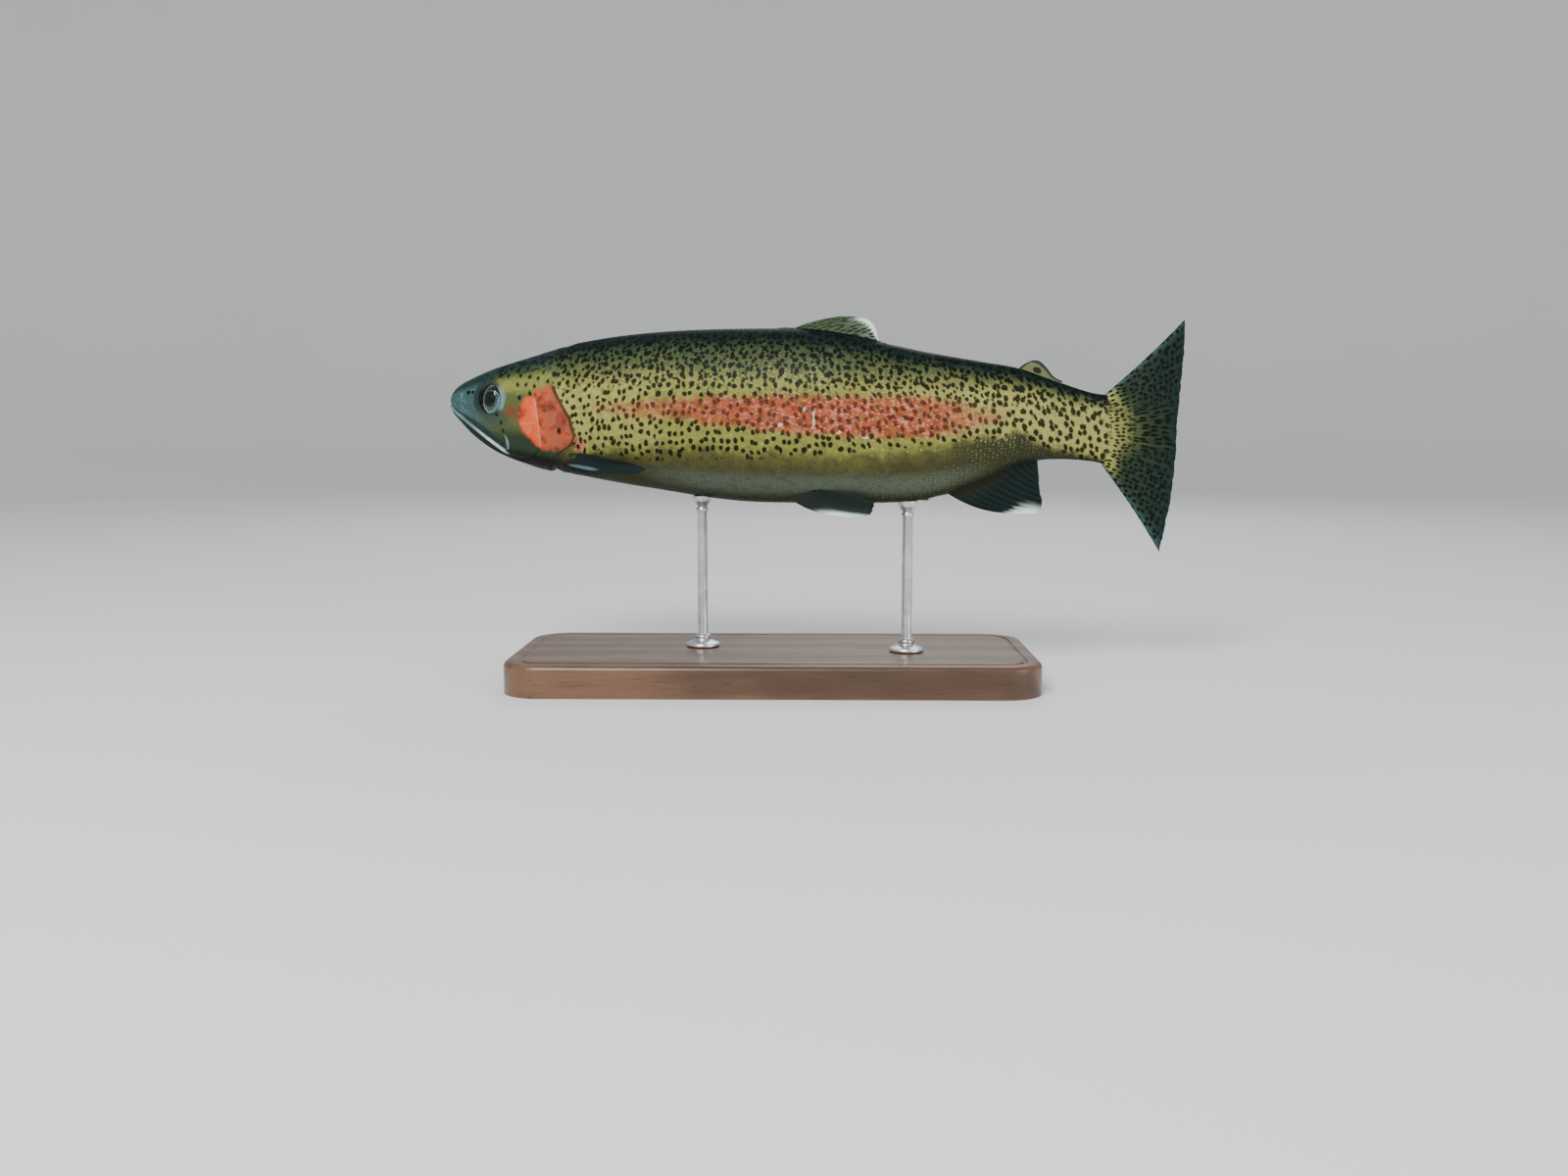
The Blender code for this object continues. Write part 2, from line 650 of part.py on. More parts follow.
for old in list(bpy.data.objects):
    bpy.data.objects.remove(old)
FISH = new_collection("rainbow_trout")
STAND = new_collection("stand")
CUTTERS = new_collection("cutters")
SKIN = new_material("trout_skin", (0.36, 0.35, 0.14), 0.35)
JAW = new_material("jaw_skin", (0.07, 0.10, 0.10), 0.35)
CHEEK = new_material("red_cheek", (0.72, 0.22, 0.16), 0.35)
FIN = new_material("fin", (0.09, 0.11, 0.11), 0.45)
EYE = new_material("eye", (0.02, 0.02, 0.02), 0.05)
WOOD = new_material("dark_wood", (0.16, 0.08, 0.04), 0.4)
STEEL = new_material("steel_rod", (0.62, 0.62, 0.64), 0.3, 1.0)

make_body()
body_clearance = new_cutter("body_clearance", body_mesh(-GAP))
make_middle_fins(body_clearance)
make_tail_fin()
make_paired_fins(body_clearance)
make_base()
for rod_name, rod_share in ROD_SHARES.items():
    make_rod(rod_name, rod_share, body_clearance)
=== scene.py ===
"""The looks of the rainbow trout: skin, scales, fins, eyes and the display stand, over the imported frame.

A place on the fish is (share, side, up): share of LENGTH along the body from snout to tail tips, side out
from the middle plane (left positive) and up over the body's axis, as shares of LENGTH too. swim() turns
places into scene points. Every fleshy piece keeps its places in the attribute "fish", and the markings are
drawn on those, so that skin, scales and fin roots carry the same ones.
"""

import math

import bmesh
import bpy
import numpy as np
from mathutils import Matrix, Vector


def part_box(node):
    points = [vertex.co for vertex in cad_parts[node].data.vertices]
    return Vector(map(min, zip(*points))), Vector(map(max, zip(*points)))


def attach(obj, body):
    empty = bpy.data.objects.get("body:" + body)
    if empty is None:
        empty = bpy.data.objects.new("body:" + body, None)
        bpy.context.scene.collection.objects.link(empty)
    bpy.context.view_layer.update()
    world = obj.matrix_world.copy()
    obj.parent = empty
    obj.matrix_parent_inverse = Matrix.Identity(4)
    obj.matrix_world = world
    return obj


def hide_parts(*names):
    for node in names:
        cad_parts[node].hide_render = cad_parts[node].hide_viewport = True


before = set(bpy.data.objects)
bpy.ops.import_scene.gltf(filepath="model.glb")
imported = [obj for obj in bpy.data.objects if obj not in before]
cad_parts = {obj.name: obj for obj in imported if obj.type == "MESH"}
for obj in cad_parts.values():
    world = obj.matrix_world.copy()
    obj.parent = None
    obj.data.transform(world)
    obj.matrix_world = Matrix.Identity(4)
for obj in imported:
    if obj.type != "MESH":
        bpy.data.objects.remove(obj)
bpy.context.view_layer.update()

# The body, as in the solids. A bend is the share where it starts, the share where it ends, and its degrees.
LENGTH = 0.45
AXIS_HEIGHT = 0.150
OVER_BASE_SHARE = 0.44  # of the fish, over the scene's origin
HEAD_TURN = 10.5
BODY_BEND = (0.40, 0.84, -20.0)
TAIL_BEND = (0.80, 1.00, -26.0)
MM = 0.001 / LENGTH  # a millimetre on the fish, as a share of LENGTH

# Cross-sections: share, back, belly, half width, level of the widest part.
SECTIONS = {
    "tip": (0.000, 0.0262, 0.0228, 0.0000, 0.0245),
    "lip": (0.003, 0.0362, 0.0125, 0.0105, 0.0243),
    "snout": (0.013, 0.0468, 0.0005, 0.0190, 0.0235),
    "nostril": (0.034, 0.0580, -0.0205, 0.0255, 0.0225),
    "eye": (0.068, 0.0708, -0.0425, 0.0345, 0.0205),
    "cheek": (0.115, 0.0838, -0.0588, 0.0465, 0.0180),
    "gill_opening": (0.185, 0.1020, -0.0715, 0.0548, 0.0150),
    "shoulder": (0.270, 0.1127, -0.0853, 0.0588, 0.0120),
    "mid_body": (0.400, 0.1172, -0.1020, 0.0605, 0.0090),
    "dorsal_fin": (0.510, 0.1118, -0.1025, 0.0562, 0.0060),
    "vent": (0.625, 0.0878, -0.0992, 0.0440, 0.0010),
    "anal_fin": (0.700, 0.0748, -0.0760, 0.0340, -0.0020),
    "behind_anal_fin": (0.750, 0.0665, -0.0527, 0.0270, -0.0045),
    "tail_stalk": (0.800, 0.0503, -0.0484, 0.0202, -0.0065),
    "stalk_waist": (0.845, 0.0368, -0.0505, 0.0145, -0.0085),
    "tail_root": (0.880, 0.0328, -0.0560, 0.0100, -0.0105),
    "ray_roots": (0.910, 0.0310, -0.0540, 0.0058, -0.0110),
    "end": (0.936, 0.0240, -0.0470, 0.0014, -0.0110),
}
BACK_SQUARENESS = ((0.0, 2.2), (0.10, 2.15), (0.25, 1.95), (0.60, 1.90), (0.94, 2.0))
BELLY_SQUARENESS = ((0.0, 2.1), (0.10, 1.95), (0.25, 2.15), (0.55, 2.30), (0.94, 2.0))
COAT_DEPTH = 0.35 * MM  # of the skin under the scales' tips

# The gill cover's rear edge, from top to bottom, as (up, share). The other lines of the head are (share, up).
GILL_EDGE = (
    (0.130, 0.163),
    (0.080, 0.157),
    (0.050, 0.160),
    (0.028, 0.172),
    (0.005, 0.187),
    (-0.018, 0.193),
    (-0.030, 0.186),
    (-0.040, 0.168),
    (-0.056, 0.146),
    (-0.100, 0.130),
)
PREOPERCLE = (
    (0.132, 0.046), (0.1375, 0.032), (0.1395, 0.010), (0.1415, -0.015), (0.139, -0.036), (0.122, -0.047),
    (0.100, -0.047),
)
MOUTH_LINE = ((0.0, 0.0255), (0.030, 0.0045), (0.056, -0.0155), (0.083, -0.0362))
MAXILLA_OUTLINE = (
    (0.004, 0.0235), (0.030, 0.0050), (0.056, -0.0150), (0.078, -0.0318), (0.0865, -0.0350),
    (0.0915, -0.0315), (0.0905, -0.0245), (0.0845, -0.0170), (0.0690, -0.0050), (0.0450, 0.0088),
    (0.0240, 0.0188), (0.0080, 0.0262),
)
MOUTH_SLOPE = (MOUTH_LINE[0][1] - MOUTH_LINE[-1][1]) / MOUTH_LINE[-1][0]
NOSTRILS = ((0.0350, 0.0375, 1.0), (0.0420, 0.0380, 0.8))  # share, up and relative size
EYE_SHARE, EYE_UP = 0.068, 0.0290
EYE_HALF_SIZE = Vector((0.0087, 0.0094, 0.0048))
EYE_DEPTH = 0.0024
EYE_FORWARD = 5.0
EYE_OPENING = (0.0080, 0.0086)  # half sizes of the visible eye
EYE_RIM_HEIGHT, EYE_SOCKET_DEPTH = 0.00045, 0.0042
VENT_SHARE = 0.632

SKIN_RINGS, SKIN_COLUMNS = 400, 240
# The rings are closest on the snout and the head: so much of them lies ahead of such a share.
RING_STEPS, RING_SHARES = (0, 0.05, 0.50, 1), (0, 0.010, 0.200, SECTIONS["end"][0])
SCALE_ROWS_ALONG, SCALE_ROWS_AROUND = 132, 112
SCALE_TILT = math.radians(3.7)
FIRST_SCALES = 0.135  # share of the first row
SCALE_LENGTH, SCALE_WIDTH = 1.75, 1.20  # of one scale, over the distance to the next
SCALE_TURN_JITTER, SCALE_ROW_JITTER, SCALE_SIZE_JITTER = 0.06, 0.05, 0.05
# A scale's highest and lowest points: along it, across it, and metres off its plane.
SCALE_CROWN, SCALE_KEEL = (0.62, 0, 0.00016), (0.55, 0, -0.00005)
UNWRAP_PATCH = 0.003  # of a scale on the shared unwrap
SCALE_SEED, HEAD_SPOT_SEED, MUSCLE_SEED, SPOT_EDGE_SEED = 11, 8, 3, 9


# Curves and places, for whole arrays at a time.


class Curve:
    """A curve through (x, value) knots with a continuous slope. Values are numbers or tuples of numbers."""

    def __init__(self, knots):
        self.x = np.array([knot[0] for knot in knots], float)
        self.y = np.array([knot[1] for knot in knots], float)
        index = np.arange(len(self.x))
        before, after = np.maximum(index - 1, 0), np.minimum(index + 1, len(index) - 1)
        run = self.x[after] - self.x[before]
        self.slope = (self.y[after] - self.y[before]) / run.reshape(run.shape + (1,) * (self.y.ndim - 1))

    def __call__(self, x):
        x = np.clip(np.asarray(x, float), self.x[0], self.x[-1])
        i = np.clip(np.searchsorted(self.x, x, side="right") - 1, 0, len(self.x) - 2)
        span = self.x[i + 1] - self.x[i]
        t = (x - self.x[i]) / span
        if self.y.ndim > 1:
            t, span = t[..., None], span[..., None]
        rise = t * t * (3 - 2 * t)
        start = self.slope[i] * span * t * (1 - t) ** 2
        stop = self.slope[i + 1] * span * t * t * (t - 1)
        return self.y[i] * (1 - rise) + self.y[i + 1] * rise + start + stop


def ease(start, stop, x):
    """0 before start and 1 after stop, softly. Start may be the larger one."""
    t = np.clip((x - start) / (stop - start), 0, 1)
    return t * t * (3 - 2 * t)


def heading(share):
    """Which way the body's axis points, in radians from -X towards +Y."""
    degrees = HEAD_TURN + 0 * share
    for start, stop, turn in (BODY_BEND, TAIL_BEND):
        degrees = degrees + turn * ease(start, stop, share)
    return np.radians(degrees)


AXIS_SHARES = np.linspace(-0.1, 1.1, 1201)
AXIS_TURNS = heading((AXIS_SHARES[1:] + AXIS_SHARES[:-1]) / 2)
AXIS_STEP = LENGTH * (AXIS_SHARES[1] - AXIS_SHARES[0])
AXIS_X = np.concatenate([[0], np.cumsum(np.cos(AXIS_TURNS))]) * AXIS_STEP
AXIS_Y = np.concatenate([[0], np.cumsum(-np.sin(AXIS_TURNS))]) * AXIS_STEP
AXIS_X -= np.interp(OVER_BASE_SHARE, AXIS_SHARES, AXIS_X)
AXIS_Y -= np.interp(OVER_BASE_SHARE, AXIS_SHARES, AXIS_Y)


def swim(share, side, up):
    """Scene points of places on the fish, as an array whose last axis is x, y, z."""
    share, side, up = np.broadcast_arrays(*(np.asarray(v, float) for v in (share, side, up)))
    turn = heading(share)
    x = np.interp(share, AXIS_SHARES, AXIS_X) - side * LENGTH * np.sin(turn)
    y = np.interp(share, AXIS_SHARES, AXIS_Y) - side * LENGTH * np.cos(turn)
    return np.stack([x, y, AXIS_HEIGHT + up * LENGTH], axis=-1)


BACK = Curve([(s[0], s[1]) for s in SECTIONS.values()])
BELLY = Curve([(s[0], s[2]) for s in SECTIONS.values()])
HALF_WIDTH = Curve([(s[0], s[3]) for s in SECTIONS.values()])
LEVEL = Curve([(s[0], s[4]) for s in SECTIONS.values()])
SQUARE_BACK, SQUARE_BELLY = Curve(BACK_SQUARENESS), Curve(BELLY_SQUARENESS)
GILL_EDGE_AT = Curve(GILL_EDGE[::-1])


def section(share, angle):
    """(side, up) on the body. Angle 0 is the left side and a quarter turn the back."""
    over = np.sin(angle) >= 0
    height = np.where(over, BACK(share) - LEVEL(share), LEVEL(share) - BELLY(share))
    square = np.where(over, SQUARE_BACK(share), SQUARE_BELLY(share))
    side = np.sign(np.cos(angle)) * np.abs(np.cos(angle)) ** (2 / square) * HALF_WIDTH(share)
    up = np.sign(np.sin(angle)) * np.abs(np.sin(angle)) ** (2 / square) * height
    return side, LEVEL(share) + up


def skin_side(share, up):
    """How far out the skin lies at a level."""
    over = up >= LEVEL(share)
    height = np.where(over, BACK(share) - LEVEL(share), LEVEL(share) - BELLY(share))
    square = np.where(over, SQUARE_BACK(share), SQUARE_BELLY(share))
    reach = np.minimum(np.abs(up - LEVEL(share)) / height, 1)
    return HALF_WIDTH(share) * (1 - reach**square) ** (1 / square)


def from_line(points, share, up):
    """Distance from a broken line, as a share of LENGTH: positive on its left when walked along."""
    best = np.full(share.shape, 9.0)
    sign = np.ones(share.shape)
    for (x0, z0), (x1, z1) in zip(points[:-1], points[1:]):
        dx, dz = x1 - x0, z1 - z0
        t = np.clip(((share - x0) * dx + (up - z0) * dz) / (dx * dx + dz * dz), 0, 1)
        ox, oz = share - (x0 + t * dx), up - (z0 + t * dz)
        far = np.hypot(ox, oz)
        nearer = far < best
        sign = np.where(nearer, np.sign(dx * oz - dz * ox), sign)
        best = np.where(nearer, far, best)
    return best * sign


def inside_outline(points, share, up):
    """How deep inside a closed outline, as a share of LENGTH; negative outside."""
    far = np.abs(from_line([*points, points[0]], share, up))
    crossings = np.zeros(share.shape, int)
    for (x0, z0), (x1, z1) in zip(points, [*points[1:], points[0]]):
        spans = (z0 > up) != (z1 > up)
        at = x0 + (up - z0) * (x1 - x0) / ((z1 - z0) or 1e-9)
        crossings += spans & (share < at)
    return np.where(crossings % 2 == 1, far, -far)


def bell(x, width):
    return np.exp(-((x / width) ** 2))


def unit(vectors):
    return vectors / np.maximum(np.linalg.norm(vectors, axis=-1, keepdims=True), 1e-12)


def waves(share, up, side, scale, seed):
    """Soft seeded noise between about -1 and 1, over lengths of scale (a share of LENGTH)."""
    rng = np.random.default_rng(seed)
    count = 7
    total = 0
    for _ in range(count):
        k = rng.normal(size=3)
        k *= rng.uniform(0.6, 1.5) / np.linalg.norm(k) * 2 * math.pi / scale
        total = total + np.sin(share * k[0] + up * k[1] + side * k[2] + rng.uniform(0, 6.28))
    return total / (count / 2)


# The eyes' placement, as in the solids.


def skin_place(share, up, hand):
    return Vector(swim(share, hand * skin_side(share, up), up))


def eye_placement(hand):
    """The eyeball's middle and its turn: its own Z looks out of the head, its Y is up."""
    step = 0.01
    here = skin_place(EYE_SHARE, EYE_UP, hand)
    back = skin_place(EYE_SHARE + step, EYE_UP, hand) - skin_place(EYE_SHARE - step, EYE_UP, hand)
    rise = skin_place(EYE_SHARE, EYE_UP + step, hand) - skin_place(EYE_SHARE, EYE_UP - step, hand)
    out = back.cross(rise).normalized() * hand
    back.normalize()
    ahead = math.radians(EYE_FORWARD)
    out, back = out * math.cos(ahead) - back * math.sin(ahead), back * math.cos(ahead) + out * math.sin(ahead)
    turn = Matrix((back, out.cross(back), out)).transposed().to_4x4()
    return Matrix.Translation(here - out * EYE_DEPTH) @ turn


# Relief of the skin along its normal: each part in millimetres, and their sum in metres.


def gill_relief(share, up, side):
    ahead = (GILL_EDGE_AT(up) - share) / MM
    live = ease(0.066, 0.044, up) * ease(-0.110, -0.075, up)
    flap = 0.55 * ease(-0.15, 0.6, ahead) * (1 - ease(6, 20, ahead))
    pit = -1.5 * np.exp(np.minimum(ahead, 0) / 6.5) * ease(0.15, -0.3, ahead)
    return live * (flap + pit)


def preopercle_relief(share, up, side):
    off = from_line(PREOPERCLE, share, up) / MM
    live = ease(0.060, 0.040, up) * ease(0.086, 0.104, share)
    ridge = 0.35 * bell(off + 1.3, 1.3) - 0.5 * bell(off - 0.3, 0.6)
    return live * ridge


def mouth_relief(share, up, side):
    under = -from_line(MOUTH_LINE, share, up) / MM
    live = ease(0.092, 0.080, share)
    slit = -1.3 * bell(under, 0.45)
    lip = 0.45 * bell(under - 1.5, 1.0)
    plate = 0.75 * ease(-0.35, 0.55, inside_outline(MAXILLA_OUTLINE, share, up) / MM)
    plate = plate * ease(0.0, 0.02, share)
    heel = -0.5 * bell((share - 0.094) / MM, 1.6) * bell((up + 0.030) / MM, 4)
    return live * (slit + lip) + plate + heel


def nostril_relief(share, up, side):
    total = 0
    for at, level, size in NOSTRILS:
        far = np.hypot((share - at) / MM, (up - level) / MM)
        total = total - 1.3 * size * bell(far, 0.85 * size) + 0.3 * bell(far - 1.7 * size, 0.5)
    return total * (np.abs(side) > 0.008)


def face_relief(share, up, side):
    """Cheek bones, the groove under the eye, the hollow brow and the throat's folds."""
    around_eye = np.hypot((share - EYE_SHARE) / MM, (up - EYE_UP) / MM)
    bones = -0.22 * bell(around_eye - 14.5, 1.2) * ease(0.030, 0.012, up) * ease(0.03, 0.05, share)
    cheek = 0.4 * bell((share - 0.112) / MM, 9) * bell((up + 0.004) / MM, 12)
    brow = -0.35 * bell((share - 0.050) / MM, 9) * bell((up - 0.053) / MM, 3.5)
    crown = -0.5 * bell(side / MM, 3.0) * bell((share - 0.085) / MM, 16) * ease(0.04, 0.06, up)
    low = ease(0.32, 0.16, (up - BELLY(share)) / (BACK(share) - BELLY(share)))
    jaw_bone = -0.7 * bell((np.abs(side) - 0.006 - 0.10 * share) / MM, 0.7)
    jaw_bone = jaw_bone * low * ease(0.022, 0.040, share) * ease(0.128, 0.110, share)
    ahead = (GILL_EDGE_AT(up) - share) / MM
    rays = 0.09 * np.cos(ahead * 2 * math.pi / 2.9) * ease(-0.036, -0.046, up)
    rays = rays * ease(1.0, 3.0, ahead) * ease(22, 14, ahead)
    return bones + cheek + brow + crown + jaw_bone + rays


def body_relief(share, up, side):
    """Soft muscle, the fleshy fin roots and the vent."""
    soft = 0.10 * waves(share, up, side, 0.11, MUSCLE_SEED) * ease(0.16, 0.26, share)
    over = ease(0.5, 0.8, (up - LEVEL(share)) / (BACK(share) - LEVEL(share)))
    under = ease(0.5, 0.8, (LEVEL(share) - up) / (LEVEL(share) - BELLY(share)))
    dorsal = 0.6 * over * bell(side / MM, 2.6) * ease(0.435, 0.455, share) * ease(0.585, 0.565, share)
    anal = 0.6 * under * bell(side / MM, 2.4) * ease(0.645, 0.665, share) * ease(0.790, 0.770, share)
    vent = 1.0 * under * bell(side / MM, 1.8) * bell((share - VENT_SHARE) / MM, 1.9)
    vent = vent - 0.5 * under * bell(side / MM, 0.9) * bell((share - VENT_SHARE - 0.007) / MM, 1.2)
    shoulder = 0.5 * bell((share - 0.183) / MM, 5) * bell((up + 0.047) / MM, 3.5)
    return soft + dorsal + anal + vent + shoulder


def skin_relief(share, up, side):
    parts = (gill_relief, preopercle_relief, mouth_relief, nostril_relief, face_relief, body_relief)
    return 0.001 * sum(part(share, up, side) for part in parts)


# Meshes.


def link_object(name, data):
    made = bpy.data.objects.new(name, data)
    bpy.context.scene.collection.objects.link(made)
    return made


def new_mesh_object(name, points, faces):
    mesh = bpy.data.meshes.new(name)
    mesh.from_pydata([tuple(p) for p in points], [], faces)
    mesh.shade_smooth()
    return link_object(name, mesh)


def set_attribute(mesh, name, vectors):
    """A vector for each vertex."""
    layer = mesh.attributes.new(name, "FLOAT_VECTOR", "POINT")
    layer.data.foreach_set("vector", np.asarray(vectors, np.float32).ravel())


def face_outwards(mesh):
    bm = bmesh.new()
    bm.from_mesh(mesh)
    bmesh.ops.recalc_face_normals(bm, faces=bm.faces)
    if bm.calc_volume(signed=True) < 0:
        bmesh.ops.reverse_faces(bm, faces=bm.faces)
    bm.to_mesh(mesh)
    bm.free()


def set_uv(mesh, name, per_vertex):
    """A UV map from one pair of numbers for each vertex."""
    layer = mesh.uv_layers.new(name=name)
    corner_vertex = np.empty(len(mesh.loops), int)
    mesh.loops.foreach_get("vertex_index", corner_vertex)
    layer.data.foreach_set("uv", np.asarray(per_vertex, np.float32)[corner_vertex].ravel())
    return layer


def show_as(piece, material, slot, *nodes):
    """Gives a piece its finish, hangs it from the root and hides the nodes it stands for."""
    piece.data.materials.clear()
    piece.data.materials.append(material)
    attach(piece, "root")
    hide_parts(*nodes)


# The skin.


class Hide:
    """The body's surface as a grid: rings along the fish, columns round it from the belly's midline."""

    def __init__(self):
        ring = np.linspace(0, 1, SKIN_RINGS + 1)[1:-1]
        self.shares = np.interp(ring, RING_STEPS, RING_SHARES)
        self.angles = np.arange(SKIN_COLUMNS) * 2 * math.pi / SKIN_COLUMNS - math.pi / 2
        share, angle = np.meshgrid(self.shares, self.angles, indexing="ij")
        side, up = section(share, angle)
        self.fish = np.stack([share, side, up], axis=-1)
        base = swim(share, side, up)
        self.lie = np.stack([share / MM, self.arc_from_back(base), self.relative_height(share, up)], axis=-1)
        out = self.normals(base)
        relief = skin_relief(share, up, side) + self.orbit_relief(base)
        coat = COAT_DEPTH * LENGTH * scaled_part(share, up)
        self.points = base + out * (relief - coat)[..., None]
        self.out = self.normals(self.points)

    @staticmethod
    def arc_from_back(points):
        """Millimetres round the body from the back's midline: left is negative."""
        steps = np.linalg.norm(np.diff(points, axis=1), axis=-1)
        arcs = np.concatenate([np.zeros((len(points), 1)), np.cumsum(steps, axis=1)], axis=1)
        return 1000 * (arcs - arcs[:, SKIN_COLUMNS // 2 : SKIN_COLUMNS // 2 + 1])

    @staticmethod
    def relative_height(share, up):
        """From -1 on the belly's midline over 0 at the widest part to 1 on the back's."""
        off = up - LEVEL(share)
        return np.where(off > 0, off / (BACK(share) - LEVEL(share)), off / (LEVEL(share) - BELLY(share)))

    @staticmethod
    def normals(points):
        around = np.roll(points, -1, axis=1) - np.roll(points, 1, axis=1)
        return unit(np.cross(np.gradient(points, axis=0), around))

    @staticmethod
    def orbit_relief(points):
        """Round each eye the skin rises in a thin rim, then drops in behind the eyeball."""
        total = 0
        for hand in (1, -1):
            inverse = np.array(eye_placement(hand).inverted())
            local = points @ inverse[:3, :3].T + inverse[:3, 3]
            off = np.hypot(local[..., 0] / EYE_OPENING[0], local[..., 1] / EYE_OPENING[1])
            off = np.where(np.abs(local[..., 2]) > 0.008, 9, off)
            total = total + EYE_RIM_HEIGHT * bell(off - 1.10, 0.085)
            total = total - EYE_SOCKET_DEPTH * ease(1.02, 0.90, off)
        return total

    def sample(self, ring, column):
        """Points, normals and places at fractional rings and columns."""
        i, j = np.floor(ring).astype(int), np.floor(column).astype(int)
        fi, fj = (ring - i)[..., None], (column - j)[..., None]
        i0, i1 = np.clip(i, 0, len(self.shares) - 1), np.clip(i + 1, 0, len(self.shares) - 1)
        j0, j1 = j % SKIN_COLUMNS, (j + 1) % SKIN_COLUMNS
        mixed = []
        for grid in (self.points, self.out, self.fish, self.lie):
            near = grid[i0, j0] * (1 - fj) + grid[i0, j1] * fj
            far = grid[i1, j0] * (1 - fj) + grid[i1, j1] * fj
            mixed.append(near * (1 - fi) + far * fi)
        return mixed


def scaled_part(share, up):
    """1 where scales grow: behind the gill opening and the nape, as far as the tail fin's rays."""
    behind = (share - GILL_EDGE_AT(up)) / MM
    return ease(0.5, 3.0, behind) * ease(SECTIONS["ray_roots"][0] + 0.004, SECTIONS["tail_root"][0], share)


# Rows of spots on the head: how many, the first and last (share, up), and their width in millimetres.
HEAD_SPOT_ROWS = (
    (6, (0.085, 0.061), (0.155, 0.050), 2.3),
    (4, (0.080, 0.068), (0.145, 0.064), 2.0),
    (3, (0.110, 0.048), (0.138, 0.045), 2.2),
    (2, (0.117, 0.032), (0.130, 0.031), 2.4),
    (3, (0.080, 0.010), (0.086, -0.012), 1.9),
    (1, (0.170, -0.015), (0.170, -0.015), 2.8),
)


def freckles(fish):
    """1 inside the head's rows of spots. On the right they lie a little differently."""
    rng = np.random.default_rng(HEAD_SPOT_SEED)
    total = np.zeros(len(fish))
    share, side, up = fish.T
    left_jitter, right_jitter, soft, upright = 0.7 * MM, 1.6 * MM, 0.35, 0.86
    ragged = 1 + 0.18 * waves(share, up, side, 0.006, SPOT_EDGE_SEED)
    for count, first, last, width in HEAD_SPOT_ROWS:
        for at, level in np.linspace(first, last, count):
            left, right = rng.normal(0, left_jitter, 2), rng.normal(0, right_jitter, 2)
            off_share = share - at - np.where(side < 0, right[0], left[0])
            off_up = (up - level - np.where(side < 0, right[1], left[1])) * upright
            far = np.hypot(off_share, off_up) / MM * ragged
            total = np.maximum(total, ease(width / 2 + soft, width / 2 - soft, far))
    return total


def make_skin(hide):
    """The grid closed over at the snout and at the rear end, each with a fan of triangles."""
    rings, columns = hide.fish.shape[:2]
    end = SECTIONS["end"][0]
    poles = [(0, 0, LEVEL(0)), (end, 0, LEVEL(end))]
    points = np.concatenate([hide.points.reshape(-1, 3), [swim(*pole) for pole in poles]])
    fish = np.concatenate([hide.fish.reshape(-1, 3), poles])
    pole_arc = -20  # millimetres from the back's midline
    lie = np.concatenate([hide.lie.reshape(-1, 3), [(pole[0] / MM, pole_arc, 0) for pole in poles]])
    first, last = rings * columns, rings * columns + 1
    faces = []
    for i in range(rings - 1):
        for j in range(columns):
            k = (j + 1) % columns
            faces.append((i * columns + j, (i + 1) * columns + j, (i + 1) * columns + k, i * columns + k))
    for j in range(columns):
        k = (j + 1) % columns
        faces.append((first, j, k))
        faces.append((last, (rings - 1) * columns + k, (rings - 1) * columns + j))
    skin = new_mesh_object("trout_skin", points, faces)
    set_attribute(skin.data, "fish", fish)
    set_attribute(skin.data, "lie", lie)
    set_attribute(skin.data, "freckles", np.repeat(freckles(fish)[:, None], 3, axis=1))
    along, around = np.linspace(0.02, 0.98, rings), np.arange(columns) / columns
    unwrap = np.stack(np.meshgrid(along, around, indexing="ij"), -1)
    unwrap = np.concatenate([unwrap.reshape(-1, 2), [(0.01, 0.5), (0.99, 0.5)]])
    set_uv(skin.data, "OFBake", unwrap)
    close_wrap(skin.data)
    return skin


def close_wrap(mesh):
    """Where a face spans the unwrap's seam, its low corners are moved past the end."""
    layer = mesh.uv_layers["OFBake"].data
    for face in mesh.polygons:
        level = [layer[c].uv.y for c in face.loop_indices]
        if max(level) - min(level) > 0.5:
            for c in face.loop_indices:
                if layer[c].uv.y < 0.4:
                    layer[c].uv.y += 1.0


# Scales. Each seed holds where a scale roots, its normal, its place on the fish and which way it points.

SEED_FACTS = ("point", "out", "root", "ahead", "around", "size", "unwrap", "lie", "luck")


